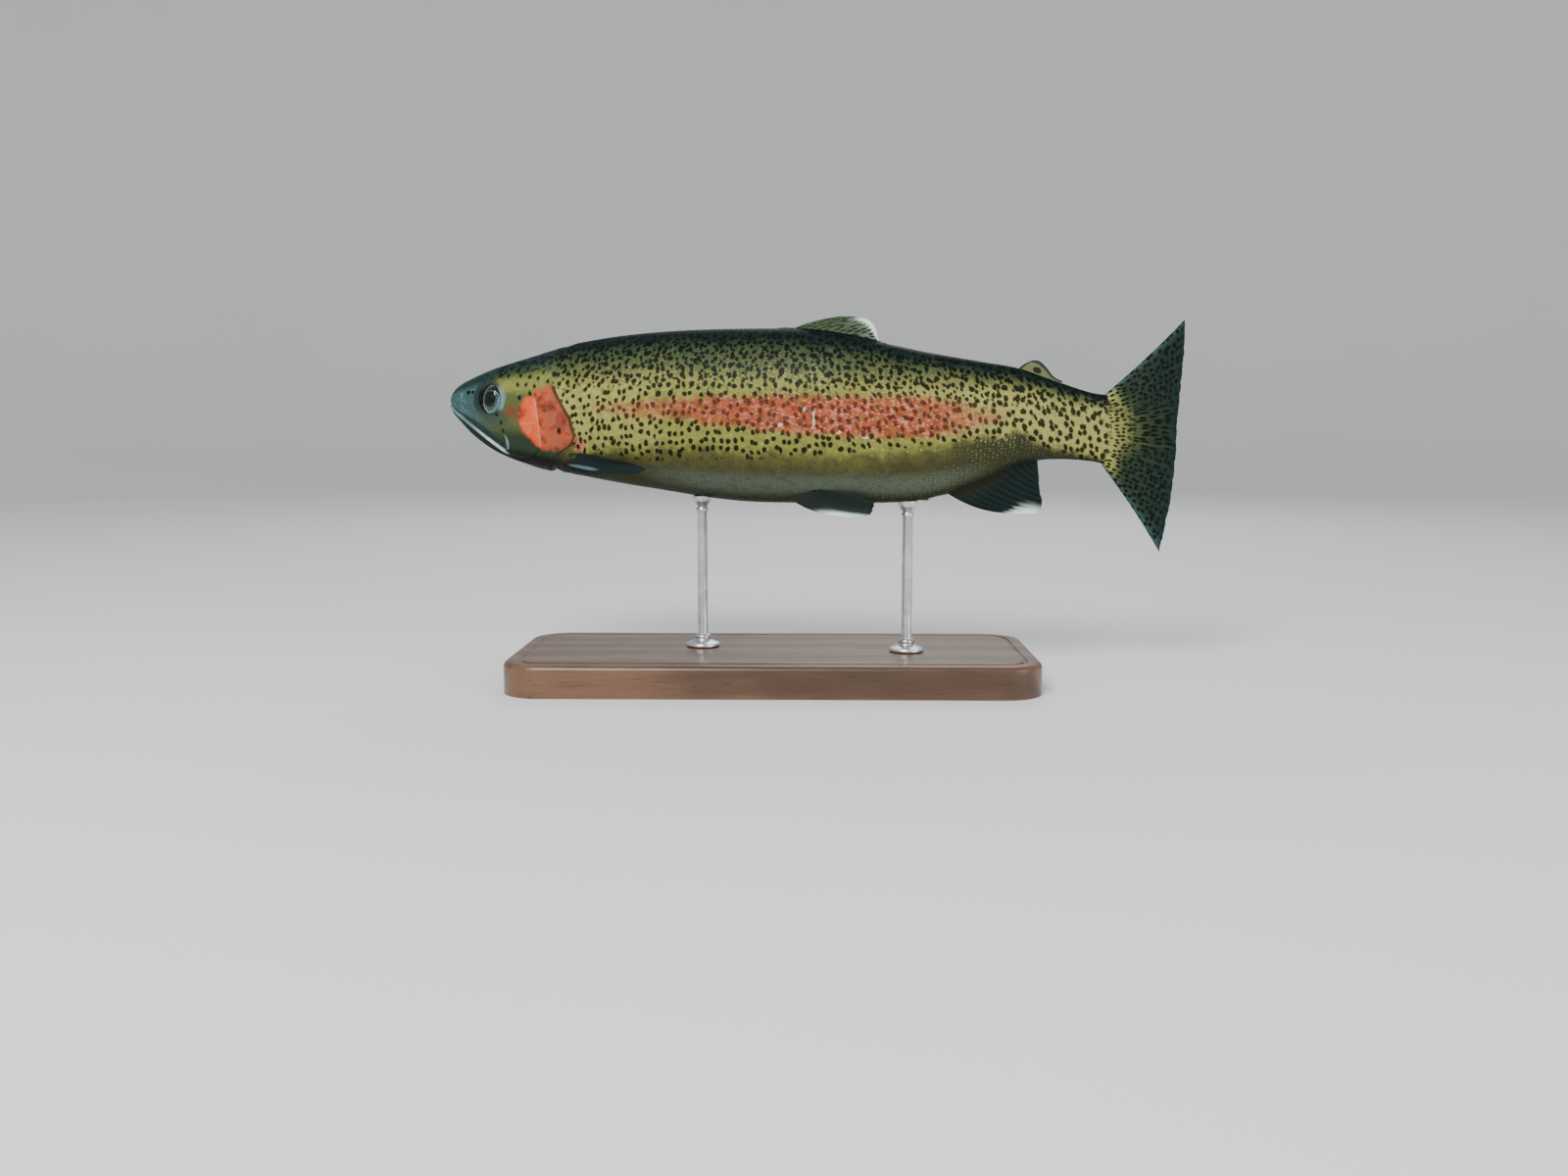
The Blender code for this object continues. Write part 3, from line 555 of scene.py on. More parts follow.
def scale_seeds(hide):
    """Where scales root: staggered rows along the body, evenly spaced round each of its sections."""
    rng = np.random.default_rng(SCALE_SEED)
    steps = np.linspace(0, 1, SCALE_ROWS_ALONG)
    rows = FIRST_SCALES + (SECTIONS["ray_roots"][0] - FIRST_SCALES) * (steps + 0.06 * np.sin(math.pi * steps))
    ring_at = np.interp(rows, hide.shares, np.arange(len(hide.shares)))
    seeds = {name: [] for name in SEED_FACTS}
    columns = np.arange(SKIN_COLUMNS + 1)
    for number, ring in enumerate(ring_at):
        points = hide.sample(np.full(columns.shape, ring), columns.astype(float))[0]
        lengths = np.concatenate([[0], np.cumsum(np.linalg.norm(np.diff(points, axis=0), axis=1))])
        girth = lengths[-1]
        turns = (np.arange(SCALE_ROWS_AROUND) + 0.5 * (number % 2)) / SCALE_ROWS_AROUND
        turns = turns + rng.normal(0, SCALE_TURN_JITTER, turns.shape) / SCALE_ROWS_AROUND
        column = np.interp(turns * girth, lengths, columns)
        here = np.full(column.shape, ring) + rng.normal(0, SCALE_ROW_JITTER, column.shape)
        point, out, fish, lie = hide.sample(here, column)
        ahead = unit(hide.sample(here + 0.5, column)[0] - point)
        around = unit(hide.sample(here, column + 0.5)[2] - fish)
        pitch = (rows[min(number + 1, len(rows) - 1)] - rows[max(number - 1, 0)]) / 2 * LENGTH
        flat = np.ones((len(point), 1))
        size = np.tile((SCALE_LENGTH * pitch, SCALE_WIDTH * girth / SCALE_ROWS_AROUND), (len(point), 1))
        size = np.concatenate([size * rng.normal(1, SCALE_SIZE_JITTER, flat.shape), flat], 1)
        keep = scaled_part(fish[:, 0] + 0.002, fish[:, 2]) > 0.35
        unwrap = np.stack([np.full(len(point), number / SCALE_ROWS_ALONG), turns % 1.0, 0 * turns], 1)
        unwrap[:, :2] = 0.01 + 0.98 * unwrap[:, :2]
        luck = rng.uniform(0, 1, (len(point), 3))
        for name, values in zip(SEED_FACTS, (point, out, fish, ahead, around, size, unwrap, lie, luck)):
            seeds[name].append(values[keep])
    return {name: np.concatenate(values) for name, values in seeds.items()}


def scale_shape():
    """One cycloid scale, one unit long and wide: rooted at the origin, its round edge towards +X."""
    bm = bmesh.new()
    bmesh.ops.create_circle(bm, cap_ends=False, segments=12, radius=0.5)
    for vert in bm.verts:
        vert.co.x += 0.5
        if vert.co.x < 0.4:
            vert.co.y *= 0.80
    tips = [bm.verts.new(tip) for tip in (SCALE_CROWN, SCALE_KEEL)]
    for edge in list(bm.edges):
        edge.smooth = False
        for tip in tips:
            bm.faces.new((*edge.verts, tip))
    bmesh.ops.recalc_face_normals(bm, faces=bm.faces)
    for face in bm.faces:
        face.smooth = True
    mesh = bpy.data.meshes.new("scale_shape")
    bm.to_mesh(mesh)
    bm.free()
    return link_object("scale_shape", mesh)


class Tree:
    """A Geometry Nodes tree under construction."""

    def __init__(self, name, inputs):
        self.tree = bpy.data.node_groups.new(name, "GeometryNodeTree")
        self.sockets = {}
        for label, kind in inputs.items():
            made = self.tree.interface.new_socket(name=label, in_out="INPUT", socket_type=f"NodeSocket{kind}")
            self.sockets[label] = made.identifier
        self.tree.interface.new_socket(name="Geometry", in_out="OUTPUT", socket_type="NodeSocketGeometry")
        self.given = self.tree.nodes.new("NodeGroupInput").outputs

    def node(self, kind, settings=None, inputs=None, output=0):
        made = self.tree.nodes.new(kind)
        for name, value in (settings or {}).items():
            setattr(made, name, value)
        for key, value in (inputs or {}).items():
            if isinstance(value, bpy.types.NodeSocket):
                self.tree.links.new(value, made.inputs[key])
            else:
                made.inputs[key].default_value = value
        return made.outputs[output]

    def named(self, name):
        kind = {"data_type": "FLOAT_VECTOR"}
        return self.node("GeometryNodeInputNamedAttribute", kind, {"Name": name})

    def store(self, geometry, name, value, kind="FLOAT_VECTOR", domain="POINT"):
        settings = {"data_type": kind, "domain": domain}
        inputs = {"Geometry": geometry, "Name": name, "Value": value}
        return self.node("GeometryNodeStoreNamedAttribute", settings, inputs)

    def vector(self, operation, a, b):
        return self.node("ShaderNodeVectorMath", {"operation": operation}, {0: a, 1: b})

    def scaled(self, vector, factor):
        return self.node("ShaderNodeVectorMath", {"operation": "SCALE"}, {0: vector, "Scale": factor})

    def finish(self, geometry):
        end = self.tree.nodes.new("NodeGroupOutput")
        self.tree.links.new(geometry, end.inputs[0])


def scale_tree():
    """Sets a scale on every seed, tilts it off the skin, and gives it its places and its unwrap."""
    tree = Tree("scales_on_seeds", {
        "Seeds": "Geometry", "Scale": "Object", "Tilt": "Float", "Fish length": "Float", "Patch": "Float",
        "Material": "Material",
    })
    given = tree.given
    shape = tree.node("GeometryNodeObjectInfo", {}, {"Object": given["Scale"]}, "Geometry")
    shape = tree.store(shape, "local", tree.node("GeometryNodeInputPosition"))
    axes = {"Primary Axis": tree.named("out"), "Secondary Axis": tree.named("ahead")}
    turn = tree.node("FunctionNodeAxesToRotation", {"primary_axis": "Z", "secondary_axis": "X"}, axes)
    lift = tree.node("FunctionNodeAxisAngleToRotation", {}, {"Axis": (0, -1, 0), "Angle": given["Tilt"]})
    both = {"Rotation": turn, "Rotate By": lift}
    turn = tree.node("FunctionNodeRotateRotation", {"rotation_space": "LOCAL"}, both)
    solid = tree.node("GeometryNodeInstanceOnPoints", {}, {
        "Points": given["Seeds"], "Instance": shape, "Rotation": turn, "Scale": tree.named("size"),
    })
    solid = tree.node("GeometryNodeRealizeInstances", {}, {"Geometry": solid})
    # Each scale's point on the fish is its root's, moved by how far the point lies along and beside it.
    reach = tree.vector("MULTIPLY", tree.named("local"), tree.named("size"))
    parts = tree.node("ShaderNodeSeparateXYZ", {}, {0: reach}).node.outputs
    along = tree.node("ShaderNodeCombineXYZ", {}, {"X": parts["X"]})
    step = tree.vector("ADD", along, tree.scaled(tree.named("around"), parts["Y"]))
    whole = tree.node("ShaderNodeCombineXYZ", {}, {axis: given["Fish length"] for axis in "XYZ"})
    step = tree.vector("DIVIDE", step, whole)
    solid = tree.store(solid, "fish", tree.vector("ADD", tree.named("root"), step))
    patch = tree.vector("ADD", tree.named("unwrap"), tree.scaled(tree.named("local"), given["Patch"]))
    solid = tree.store(solid, "OFBake", patch, "FLOAT2", "CORNER")
    millimetres = tree.vector("MULTIPLY", reach, (1000, 1000, 0))
    solid = tree.store(solid, "lie", tree.vector("ADD", tree.named("lie"), millimetres))
    flat = tree.vector("MULTIPLY", tree.named("local"), (1, 1, 0))
    luck = tree.vector("MULTIPLY", tree.named("luck"), (0, 0, 1))
    solid = tree.store(solid, "scale", tree.vector("ADD", flat, luck))
    for name in ("local", "root", "around", "ahead", "out", "size", "unwrap", "luck"):
        solid = tree.node("GeometryNodeRemoveAttribute", {}, {"Geometry": solid, "Name": name})
    solid = tree.node("GeometryNodeSetMaterial", {}, {"Geometry": solid, "Material": given["Material"]})
    tree.finish(solid)
    return tree


def grow(tree, carrier, values):
    """Runs a tree on its carrier and returns the result as a plain mesh."""
    modifier = carrier.modifiers.new("grow", "NODES")
    modifier.node_group = tree.tree
    for label, value in values.items():
        modifier[tree.sockets[label]] = value
    evaluated = carrier.evaluated_get(bpy.context.evaluated_depsgraph_get())
    mesh = bpy.data.meshes.new_from_object(evaluated)
    carrier.modifiers.remove(modifier)
    return mesh


def make_scales(hide, material):
    """The coat in three lengths: shoulder, middle and tail."""
    seeds = scale_seeds(hide)
    shape, tree = scale_shape(), scale_tree()
    values = {"Scale": shape, "Tilt": SCALE_TILT, "Fish length": LENGTH, "Patch": UNWRAP_PATCH}
    values["Material"] = material
    share = seeds["root"][:, 0]
    for name, start, stop in (("shoulder", 0, 0.38), ("middle", 0.38, 0.62), ("tail", 0.62, 1)):
        here = (share >= start) & (share < stop)
        carrier = new_mesh_object(f"{name}_seeds", seeds["point"][here], [])
        for fact in SEED_FACTS[1:]:
            set_attribute(carrier.data, fact, seeds[fact][here])
        mesh = grow(tree, carrier, values)
        mesh.name = f"scales_{name}"
        bpy.data.objects.remove(carrier)
        coat = link_object(f"scales_{name}", mesh)
        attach(coat, "root")
    bpy.data.objects.remove(shape)


# Fins: knots as (share, side, up) from the leading ray to the last one, as in the solids.

FIN_ROOT_DEPTH = 0.006  # metres that a root reaches into the body
ROOT_KNOTS = 5
MEMBRANE = 0.28  # millimetres of skin between the rays
RAY_HEIGHT, RAY_TAPER = 0.30, 0.18  # millimetres that a ray adds at its root, and loses by its tip
RAY_FORKS = (0.42, 0.62)  # of a ray's length
SCALLOPS, TEARS, TEAR_KNOTS = 0.005, 0.020, 45  # of a fin's reach, and how many tears at most


def along_back(start, stop):
    shares = np.linspace(start, stop, ROOT_KNOTS)
    return [(s, 0, float(BACK(s)) - FIN_ROOT_DEPTH / LENGTH) for s in shares]


def along_belly(start, stop):
    shares = np.linspace(start, stop, ROOT_KNOTS)
    return [(s, 0, float(BELLY(s)) + FIN_ROOT_DEPTH / LENGTH) for s in shares]


def down_stalk(share, over, under):
    top, foot = float(BACK(share)) + over, float(BELLY(share)) - under
    return [(share, 0, up) for up in np.linspace(top, foot, ROOT_KNOTS)]


# Each fin's root and edge; how far it bows and waves (a share of its reach, and millimetres), its number of
# rays and how thick its root is, in millimetres.
FINS = {
    "dorsal_fin": {
        "root": along_back(0.438, 0.568),
        "edge": ((0.524, 0, 0.1308), (0.545, 0, 0.1303), (0.560, 0, 0.1262), (0.569, 0, 0.1160),
                 (0.5735, 0, 0.0985)),
        "seed": 21, "bow": 0.05, "rays": 13, "thick": 3.0, "wave": 0.5,
    },
    "adipose_fin": {
        "root": along_back(0.743, 0.788),
        "edge": ((0.768, 0, 0.0764), (0.777, 0, 0.0752), (0.786, 0, 0.0676), (0.796, 0, 0.0562),
                 (0.8085, 0, 0.0500)),
        "seed": 22, "bow": 0.12, "rays": 0, "thick": 3.6, "wave": 0.0,
    },
    "anal_fin": {
        "root": along_belly(0.647, 0.776),
        "edge": ((0.7640, 0, -0.1172), (0.7790, 0, -0.1160), (0.7858, 0, -0.1040), (0.7812, 0, -0.0860),
                 (0.7795, 0, -0.0700), (0.7775, 0, -0.0500)),
        "seed": 23, "bow": -0.09, "rays": 13, "thick": 3.2, "wave": 0.5,
    },
    "tail_fin": {
        "root": down_stalk(0.866, 0.0006, 0.0035),
        "edge": ((0.9925, 0, 0.1325), (0.9962, 0, 0.0880), (0.9935, 0, 0.0330), (0.9880, 0, -0.0060),
                 (0.9845, 0, -0.0500), (0.9775, 0, -0.1080), (0.9635, 0, -0.1725)),
        "seed": 24, "bow": 0.0, "rays": 21, "thick": 9.0, "wave": 0.9,
    },
    "pectoral_fin": {
        "root": ((0.173, 0.0250, -0.0555), (0.177, 0.0320, -0.0475), (0.181, 0.0395, -0.0390)),
        "edge": ((0.2760, 0.0600, -0.0660), (0.2890, 0.0610, -0.0598), (0.2740, 0.0575, -0.0538),
                 (0.2430, 0.0545, -0.0483), (0.2180, 0.0515, -0.0430)),
        "seed": 25, "bow": -0.045, "rays": 14, "thick": 3.2, "wave": 0.3,
    },
    "pelvic_fin": {
        "root": ((0.452, 0.0215, -0.0885), (0.461, 0.0255, -0.0845), (0.470, 0.0290, -0.0805)),
        "edge": ((0.5400, 0.0500, -0.1178), (0.5620, 0.0495, -0.1160), (0.5700, 0.0470, -0.1085),
                 (0.5640, 0.0440, -0.0975), (0.5480, 0.0425, -0.0895)),
        "seed": 26, "bow": -0.08, "rays": 10, "thick": 3.0, "wave": 0.3,
    },
}


def spread(knots, hand):
    """A Curve over 0..1 through place knots, mirrored to the given hand."""
    steps = np.linspace(0, 1, len(knots))
    return Curve([(t, (k[0], hand * k[1], k[2])) for t, k in zip(steps, knots)])


def ray_ridges(across, along, rays):
    """0 between rays and 1 on them. Each ray forks once, half way out."""
    if not rays:
        return np.zeros(across.shape)
    single = np.cos(math.pi * rays * across) ** 6
    double = np.cos(2 * math.pi * rays * across) ** 6
    fork = ease(*RAY_FORKS, along)
    return single * (1 - fork) + double * fork * 0.8


def ragged_edge(across, rays, seed):
    """How much of its reach a fin lacks: scallops between the rays, and small tears behind the first one."""
    if not rays:
        return np.zeros(across.shape)
    depths = np.random.default_rng(seed).uniform(0, 1, TEAR_KNOTS) ** 2
    torn = np.interp(across, np.linspace(0, 1, TEAR_KNOTS), depths)
    scallop = np.abs(np.sin(2 * math.pi * rays * across))
    return SCALLOPS * scallop + TEARS * torn * (across > 0.04)


def fin_places(form, across, along, hand):
    """Places on a fin's middle sheet, and how long each of its rays is."""
    start, stop = spread(form["root"], hand)(across), spread(form["edge"], hand)(across)
    ray = stop - start
    reach = along * (1 - ragged_edge(across, form["rays"], form["seed"]))
    place = start + ray * reach[..., None]
    lift = form["bow"] * (1 - across) * np.sin(math.pi * reach)
    place += np.stack([-ray[..., 2], 0 * lift, ray[..., 0]], -1) * lift[..., None]
    place[..., 1] += form["wave"] * MM * np.sin(across * 9 + 1.5 * along) * ease(0.25, 1, along)
    return place, np.linalg.norm(ray, axis=-1)


def half_thickness(form, across, along, round_root):
    """Metres from a fin's middle sheet to its face."""
    fade = (1 - along) ** 1.5
    if round_root:
        fade = fade * np.sqrt(np.maximum(1 - (2 * across - 1) ** 2, 0.05))
    membrane = MEMBRANE + (form["thick"] - MEMBRANE) * fade
    ridge = (RAY_HEIGHT - RAY_TAPER * along) * ray_ridges(across, along, form["rays"])
    rim = ease(0.0, 0.02, across) * ease(1.0, 0.98, across) * ease(1.0, 0.97, along)
    return 0.0005 * (membrane + ridge) * (0.25 + 0.75 * rim)


def make_fin(name, form, hand=1):
    """A closed fin with raised rays, a thick root and a thin, slightly ragged edge."""
    wide, long = max(10 * form["rays"], 40), 44
    across, along = np.meshgrid(np.linspace(0, 1, wide + 1), np.linspace(0, 1, long + 1), indexing="ij")
    place, length = fin_places(form, across, along, hand)
    points = swim(place[..., 0], place[..., 1], place[..., 2])
    out = unit(np.cross(np.gradient(points, axis=0), np.gradient(points, axis=1)))
    half = half_thickness(form, across, along, name == "tail_fin")[..., None]
    fin = stitched(name, [points + out * half, points - out * half])
    fan = np.stack([across, along, length * along / MM], -1)
    down = (BACK(place[..., 0]) - place[..., 2]) / MM
    lie = [np.stack([place[..., 0] / MM, way * down, 0 * down], -1) for way in (1, -1)]
    for fact, (front, rear) in (("fish", (place, place)), ("fan", (fan, fan)), ("lie", lie)):
        set_attribute(fin.data, fact, np.concatenate([front.reshape(-1, 3), rear.reshape(-1, 3)]))
    flat = 0.02 + 0.46 * np.stack([across, along], -1).reshape(-1, 2)
    layer = set_uv(fin.data, "OFBake", np.concatenate([flat, 0.5 + flat]))
    for face in fin.data.polygons[-2 * (wide + long):]:
        for corner in face.loop_indices:
            layer.data[corner].uv = flat[fin.data.loops[corner].vertex_index % len(flat)]
    return fin


def stitched(name, sides):
    """Closes two matching grids, front and back, round their common border."""
    rows, columns = sides[0].shape[:2]
    count = rows * columns
    faces = []
    for i in range(rows - 1):
        for j in range(columns - 1):
            a, b = i * columns + j, (i + 1) * columns + j
            faces.append((a, b, b + 1, a + 1))
            faces.append((count + a, count + a + 1, count + b + 1, count + b))
    border = [(0, j) for j in range(columns)] + [(i, columns - 1) for i in range(1, rows)]
    border += [(rows - 1, j) for j in range(columns - 2, -1, -1)] + [(i, 0) for i in range(rows - 2, 0, -1)]
    ring = [i * columns + j for i, j in border]
    for a, b in zip(ring, ring[1:] + ring[:1]):
        faces.append((a, b, count + b, count + a))
    made = new_mesh_object(f"{name}_rays", np.concatenate([s.reshape(-1, 3) for s in sides]), faces)
    face_outwards(made.data)
    return made


# Eyes.


def revolved(profile, around):
    """Points and faces of an open surface of revolution about Z, from (radius, height) pairs."""
    points, faces = [], []
    for radius, height in profile:
        for k in range(around):
            a = 2 * math.pi * k / around
            points.append(Vector((radius * math.cos(a), radius * math.sin(a), height)))
    for i in range(len(profile) - 1):
        row, after = i * around, (i + 1) * around
        for k in range(around):
            j = (k + 1) % around
            faces.append((row + k, row + j, after + j, after + k))
    return points, faces


def turned(name, profile, around, placement):
    """A solid of revolution about its placement's Z, capped at both ends."""
    points, faces = revolved(profile, around)
    last = len(points) - around
    faces.append(tuple(range(around))[::-1])
    faces.append(tuple(range(last, last + around)))
    made = new_mesh_object(name, [placement @ point for point in points], faces)
    face_outwards(made.data)
    return made


def eye_profile(reach, first, last, steps):
    """Part of the eyeball's outline, from one angle above its rim to another, in unit radius."""
    angles = [math.radians(first + (last - first) * i / steps) for i in range(steps + 1)]
    return [(reach * math.cos(a), reach * EYE_HALF_SIZE.z * math.sin(a)) for a in angles]


# The eyeball's front, as (radius in half sizes, height in metres): the iris and the lens standing out of it.
IRIS = [(0.955, 0.0012), (0.90, 0.00135), (0.78, 0.0014), (0.62, 0.00135), (0.50, 0.0012)]
LENS = [(0.47, 0.0013), (0.44, 0.0017), (0.36, 0.0023), (0.24, 0.0028), (0.10, 0.0031), (0.02, 0.0032)]
CORNEA_SHARE, CORNEA_THICKNESS = 0.97, 0.00025  # its inner radius over its outer one, and metres
EYE_SIDES = 48


def make_eyes(ball_finish, cornea_finish):
    squash = Matrix.Diagonal((EYE_HALF_SIZE.x, EYE_HALF_SIZE.y, 1, 1))
    for side, hand in (("left", 1), ("right", -1)):
        placement = eye_placement(hand) @ squash
        shell = [(0.02, -EYE_HALF_SIZE.z)] + eye_profile(1, -85, 12, 14)
        ball = turned(f"eyeball_{side}", shell[:-1] + IRIS + LENS, EYE_SIDES, placement)
        local = np.array([placement.inverted() @ v.co for v in ball.data.vertices])
        set_attribute(ball.data, "eye", local * (1, 1, 1 / EYE_HALF_SIZE.z))
        show_as(ball, ball_finish, "eye", f"eye_{side}")
        dome = eye_profile(1, 14, 89, 14)
        inner = [(radius * CORNEA_SHARE, height - CORNEA_THICKNESS) for radius, height in reversed(dome)]
        cornea = turned(f"cornea_{side}", inner + dome, EYE_SIDES, placement)
        show_as(cornea, cornea_finish, "eye", f"eye_{side}")


# The display stand.

BASE_CORNER_RADIUS = 0.022
BASE_EDGE_RADIUS = 0.003
BASE_CREASE = math.radians(28)
# The bead's steps inwards round the top, as (inset, height).
BASE_BEAD = ((0.0075, 0.0), (0.0010, -0.0009), (0.0012, 0.0), (0.0010, 0.0009))
# A rod's foot, as (radius, height over the base), and its cup, as (radius, depth under the top).
ROD_FOOT = (
    (0.0002, 0.0), (0.0094, 0.0), (0.0100, 0.0006), (0.0100, 0.0014), (0.0096, 0.0020), (0.0070, 0.0030),
    (0.0047, 0.0036), (0.0042, 0.0044), (0.0046, 0.0050), (0.0046, 0.0062), (0.0042, 0.0068),
    (0.0032, 0.0072), (0.0030, 0.0080),
)
ROD_CUP = (
    (0.0030, 0.0100), (0.0034, 0.0094), (0.0036, 0.0086), (0.0034, 0.0078), (0.0031, 0.0072),
    (0.0036, 0.0060), (0.0048, 0.0042), (0.0055, 0.0030), (0.0055, 0.0006), (0.0049, 0.0003),
    (0.0044, 0.0012), (0.0002, 0.0016),
)
ROD_SIDES, ROD_CREASE = 40, math.radians(35)


def make_base(finish):
    """A softly rounded plank with a shallow bead cut round its top."""
    low, high = (Vector(v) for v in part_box("stand_base"))
    size, middle = high - low, (high + low) / 2
    bm = bmesh.new()
    bmesh.ops.create_cube(bm, size=1)
    bmesh.ops.scale(bm, vec=size, verts=bm.verts)
    bmesh.ops.translate(bm, vec=middle, verts=bm.verts)
    upright = [e for e in bm.edges if abs(e.verts[0].co.z - e.verts[1].co.z) > size.z / 2]
    bmesh.ops.bevel(bm, geom=upright, offset=BASE_CORNER_RADIUS, segments=14, affect="EDGES", profile=0.5)
    top = [f for f in bm.faces if f.normal.z > 0.9]
    for inset, height in BASE_BEAD:
        bmesh.ops.inset_region(bm, faces=top, thickness=inset, depth=height, use_even_offset=True)
    rim = [e for e in bm.edges if all(v.co.z > high.z - 1e-5 for v in e.verts) and is_outer(e)]
    bmesh.ops.bevel(bm, geom=rim, offset=BASE_EDGE_RADIUS, segments=6, affect="EDGES", profile=0.5)
    mesh = bpy.data.meshes.new("display_base")
    bm.to_mesh(mesh)
    bm.free()
    mesh.shade_smooth()
    mesh.set_sharp_from_angle(angle=BASE_CREASE)
    show_as(link_object("display_base", mesh), finish, "base_wood", "stand_base")


def is_outer(edge):
    return any(abs(face.normal.z) < 0.1 for face in edge.link_faces)


def make_rod(name, node, finish):
    """A turned rod: foot, collar, shaft and the small cup that takes the belly."""
    low, high = (Vector(v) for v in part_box(node))
    profile = [(radius, low.z + height) for radius, height in ROD_FOOT]
    profile += [(radius, high.z - depth) for radius, depth in ROD_CUP]
    middle = Matrix.Translation(((low.x + high.x) / 2, (low.y + high.y) / 2, 0))
    rod = turned(name, profile, ROD_SIDES, middle)
    rod.data.set_sharp_from_angle(angle=ROD_CREASE)
    show_as(rod, finish, "rod_steel", node)


# Finishes. A Finish is a material under construction, and a Number wraps one of its sockets, so that
# expressions in Python become Math nodes.


class Number:
    def __init__(self, finish, socket):
        self.finish, self.socket = finish, socket

    def maths(self, operation, first, second=0.0):
        return self.finish.number("ShaderNodeMath", {"operation": operation}, {0: first, 1: second})

    def __add__(self, other):
        return self.maths("ADD", self, other)

    def __sub__(self, other):
        return self.maths("SUBTRACT", self, other)

    def __rsub__(self, other):
        return self.maths("SUBTRACT", other, self)

    def __mul__(self, other):
        return self.maths("MULTIPLY", self, other)

    def __truediv__(self, other):
        return self.maths("DIVIDE", self, other)

    def __pow__(self, power):
        return self.maths("POWER", self, power)

    __radd__, __rmul__ = __add__, __mul__

    def least(self, other):
        return self.maths("MINIMUM", self, other)

    def most(self, other):
        return self.maths("MAXIMUM", self, other)

    def size(self):
        return self.maths("ABSOLUTE", self)

    def rise(self, start, stop):
        """0 before start and 1 after stop, softly. Start may be the larger one."""
        settings = {"interpolation_type": "SMOOTHSTEP"}
        inputs = {"Value": self, "From Min": start, "From Max": stop}
        return self.finish.number("ShaderNodeMapRange", settings, inputs)

    def within(self, start, full, fades, stop):
        """1 from full to fades, softly down to 0 at start and at stop."""
        return self.rise(start, full) * self.rise(stop, fades)

    def wave(self):
        return self.maths("SINE", self)

    def swing(self):
        return self.maths("COSINE", self)


class Finish:
    def __init__(self, name, roughness=0.5, metallic=0.0, **constants):
        self.material = bpy.data.materials.new(name)
        self.material.use_nodes = True
        self.tree = self.material.node_tree
        self.shader = self.tree.nodes["Principled BSDF"]
        self.set({"Roughness": roughness, "Metallic": metallic, **constants})
        self.made = {}

    def node(self, kind, settings=None, inputs=None, output=0):
        """Adds a node. Settings come first: its own properties, and the stops of a ramp."""
        made = self.tree.nodes.new(kind)
        settings = dict(settings or {})
        stops = settings.pop("stops", ())
        if stops:
            elements = made.color_ramp.elements
            while len(elements) < len(stops):
                elements.new(1.0)
            for element, (at, colour) in zip(elements, stops):
                element.position, element.color = at, (*colour, 1)
        for name, value in settings.items():
            setattr(made, name, value)
        for key, value in (inputs or {}).items():
            self.give(made.inputs[key], value)
        return made.outputs[output]

    def give(self, socket, value):
        """Links or sets one input."""
        if isinstance(value, Number):
            value = value.socket
        if isinstance(value, bpy.types.NodeSocket):
            self.tree.links.new(value, socket)
        elif isinstance(value, tuple) and len(value) == 3 and socket.type == "RGBA":
            socket.default_value = (*value, 1)
        else:
            socket.default_value = value

    def number(self, kind, settings=None, inputs=None, output=0):
        return Number(self, self.node(kind, settings, inputs, output))

    def attribute(self, name):
        """(vector socket, x, y, z) of a vertex attribute."""
        if name not in self.made:
            settings = {"attribute_type": "GEOMETRY", "attribute_name": name}
            vector = self.node("ShaderNodeAttribute", settings, output="Vector")
            self.made[name] = (vector, *self.apart(vector))
        return self.made[name]

    def apart(self, vector):
        parts = self.node("ShaderNodeSeparateXYZ", {}, {0: vector}).node.outputs
        return tuple(Number(self, parts[axis]) for axis in "XYZ")

    def join(self, x, y, z=0.0):
        return self.node("ShaderNodeCombineXYZ", {}, {"X": x, "Y": y, "Z": z})

    def vector(self, operation, a, b):
        return self.node("ShaderNodeVectorMath", {"operation": operation}, {0: a, 1: b})

    def object_place(self):
        return self.node("ShaderNodeTexCoord", {}, {}, "Object")

    def mix(self, under, over, mask):
        """A colour: over laid on under where the mask is 1."""
        return self.node("ShaderNodeMix", {"data_type": "RGBA"}, {0: mask, 6: under, 7: over}, 2)

    def ramp(self, x, stops):
        return self.node("ShaderNodeValToRGB", {"stops": stops}, {0: x})

    def along(self, x, knots, low=-0.2, high=0.2):
        """A number that follows the knots (x, value), rising in x, as x goes from 0 to 1."""
        stops = [(at, ((value - low) / (high - low),) * 3) for at, value in knots]
        return Number(self, self.ramp(x, stops)) * (high - low) + low

    def noise(self, place, scale, detail=2.0):
        return self.number("ShaderNodeTexNoise", {}, {"Vector": place, "Scale": scale, "Detail": detail})

    def cells(self, place, jitter, scale=1.0, output="Distance"):
        """Flat cells: how far from the middle of one, or its own colour."""
        inputs = {"Vector": place, "Scale": scale, "Randomness": jitter}
        return self.number("ShaderNodeTexVoronoi", {"voronoi_dimensions": "2D"}, inputs, output)

    def bump(self, height, distance, strength=1.0):
        return self.node("ShaderNodeBump", {}, {"Height": height, "Distance": distance, "Strength": strength})

    def set(self, values):
        for name, value in values.items():
            self.give(self.shader.inputs[name], value)


# The trout's markings.


def blend(first, second, share):
    return tuple(round(a + (b - a) * share, 4) for a, b in zip(first, second))
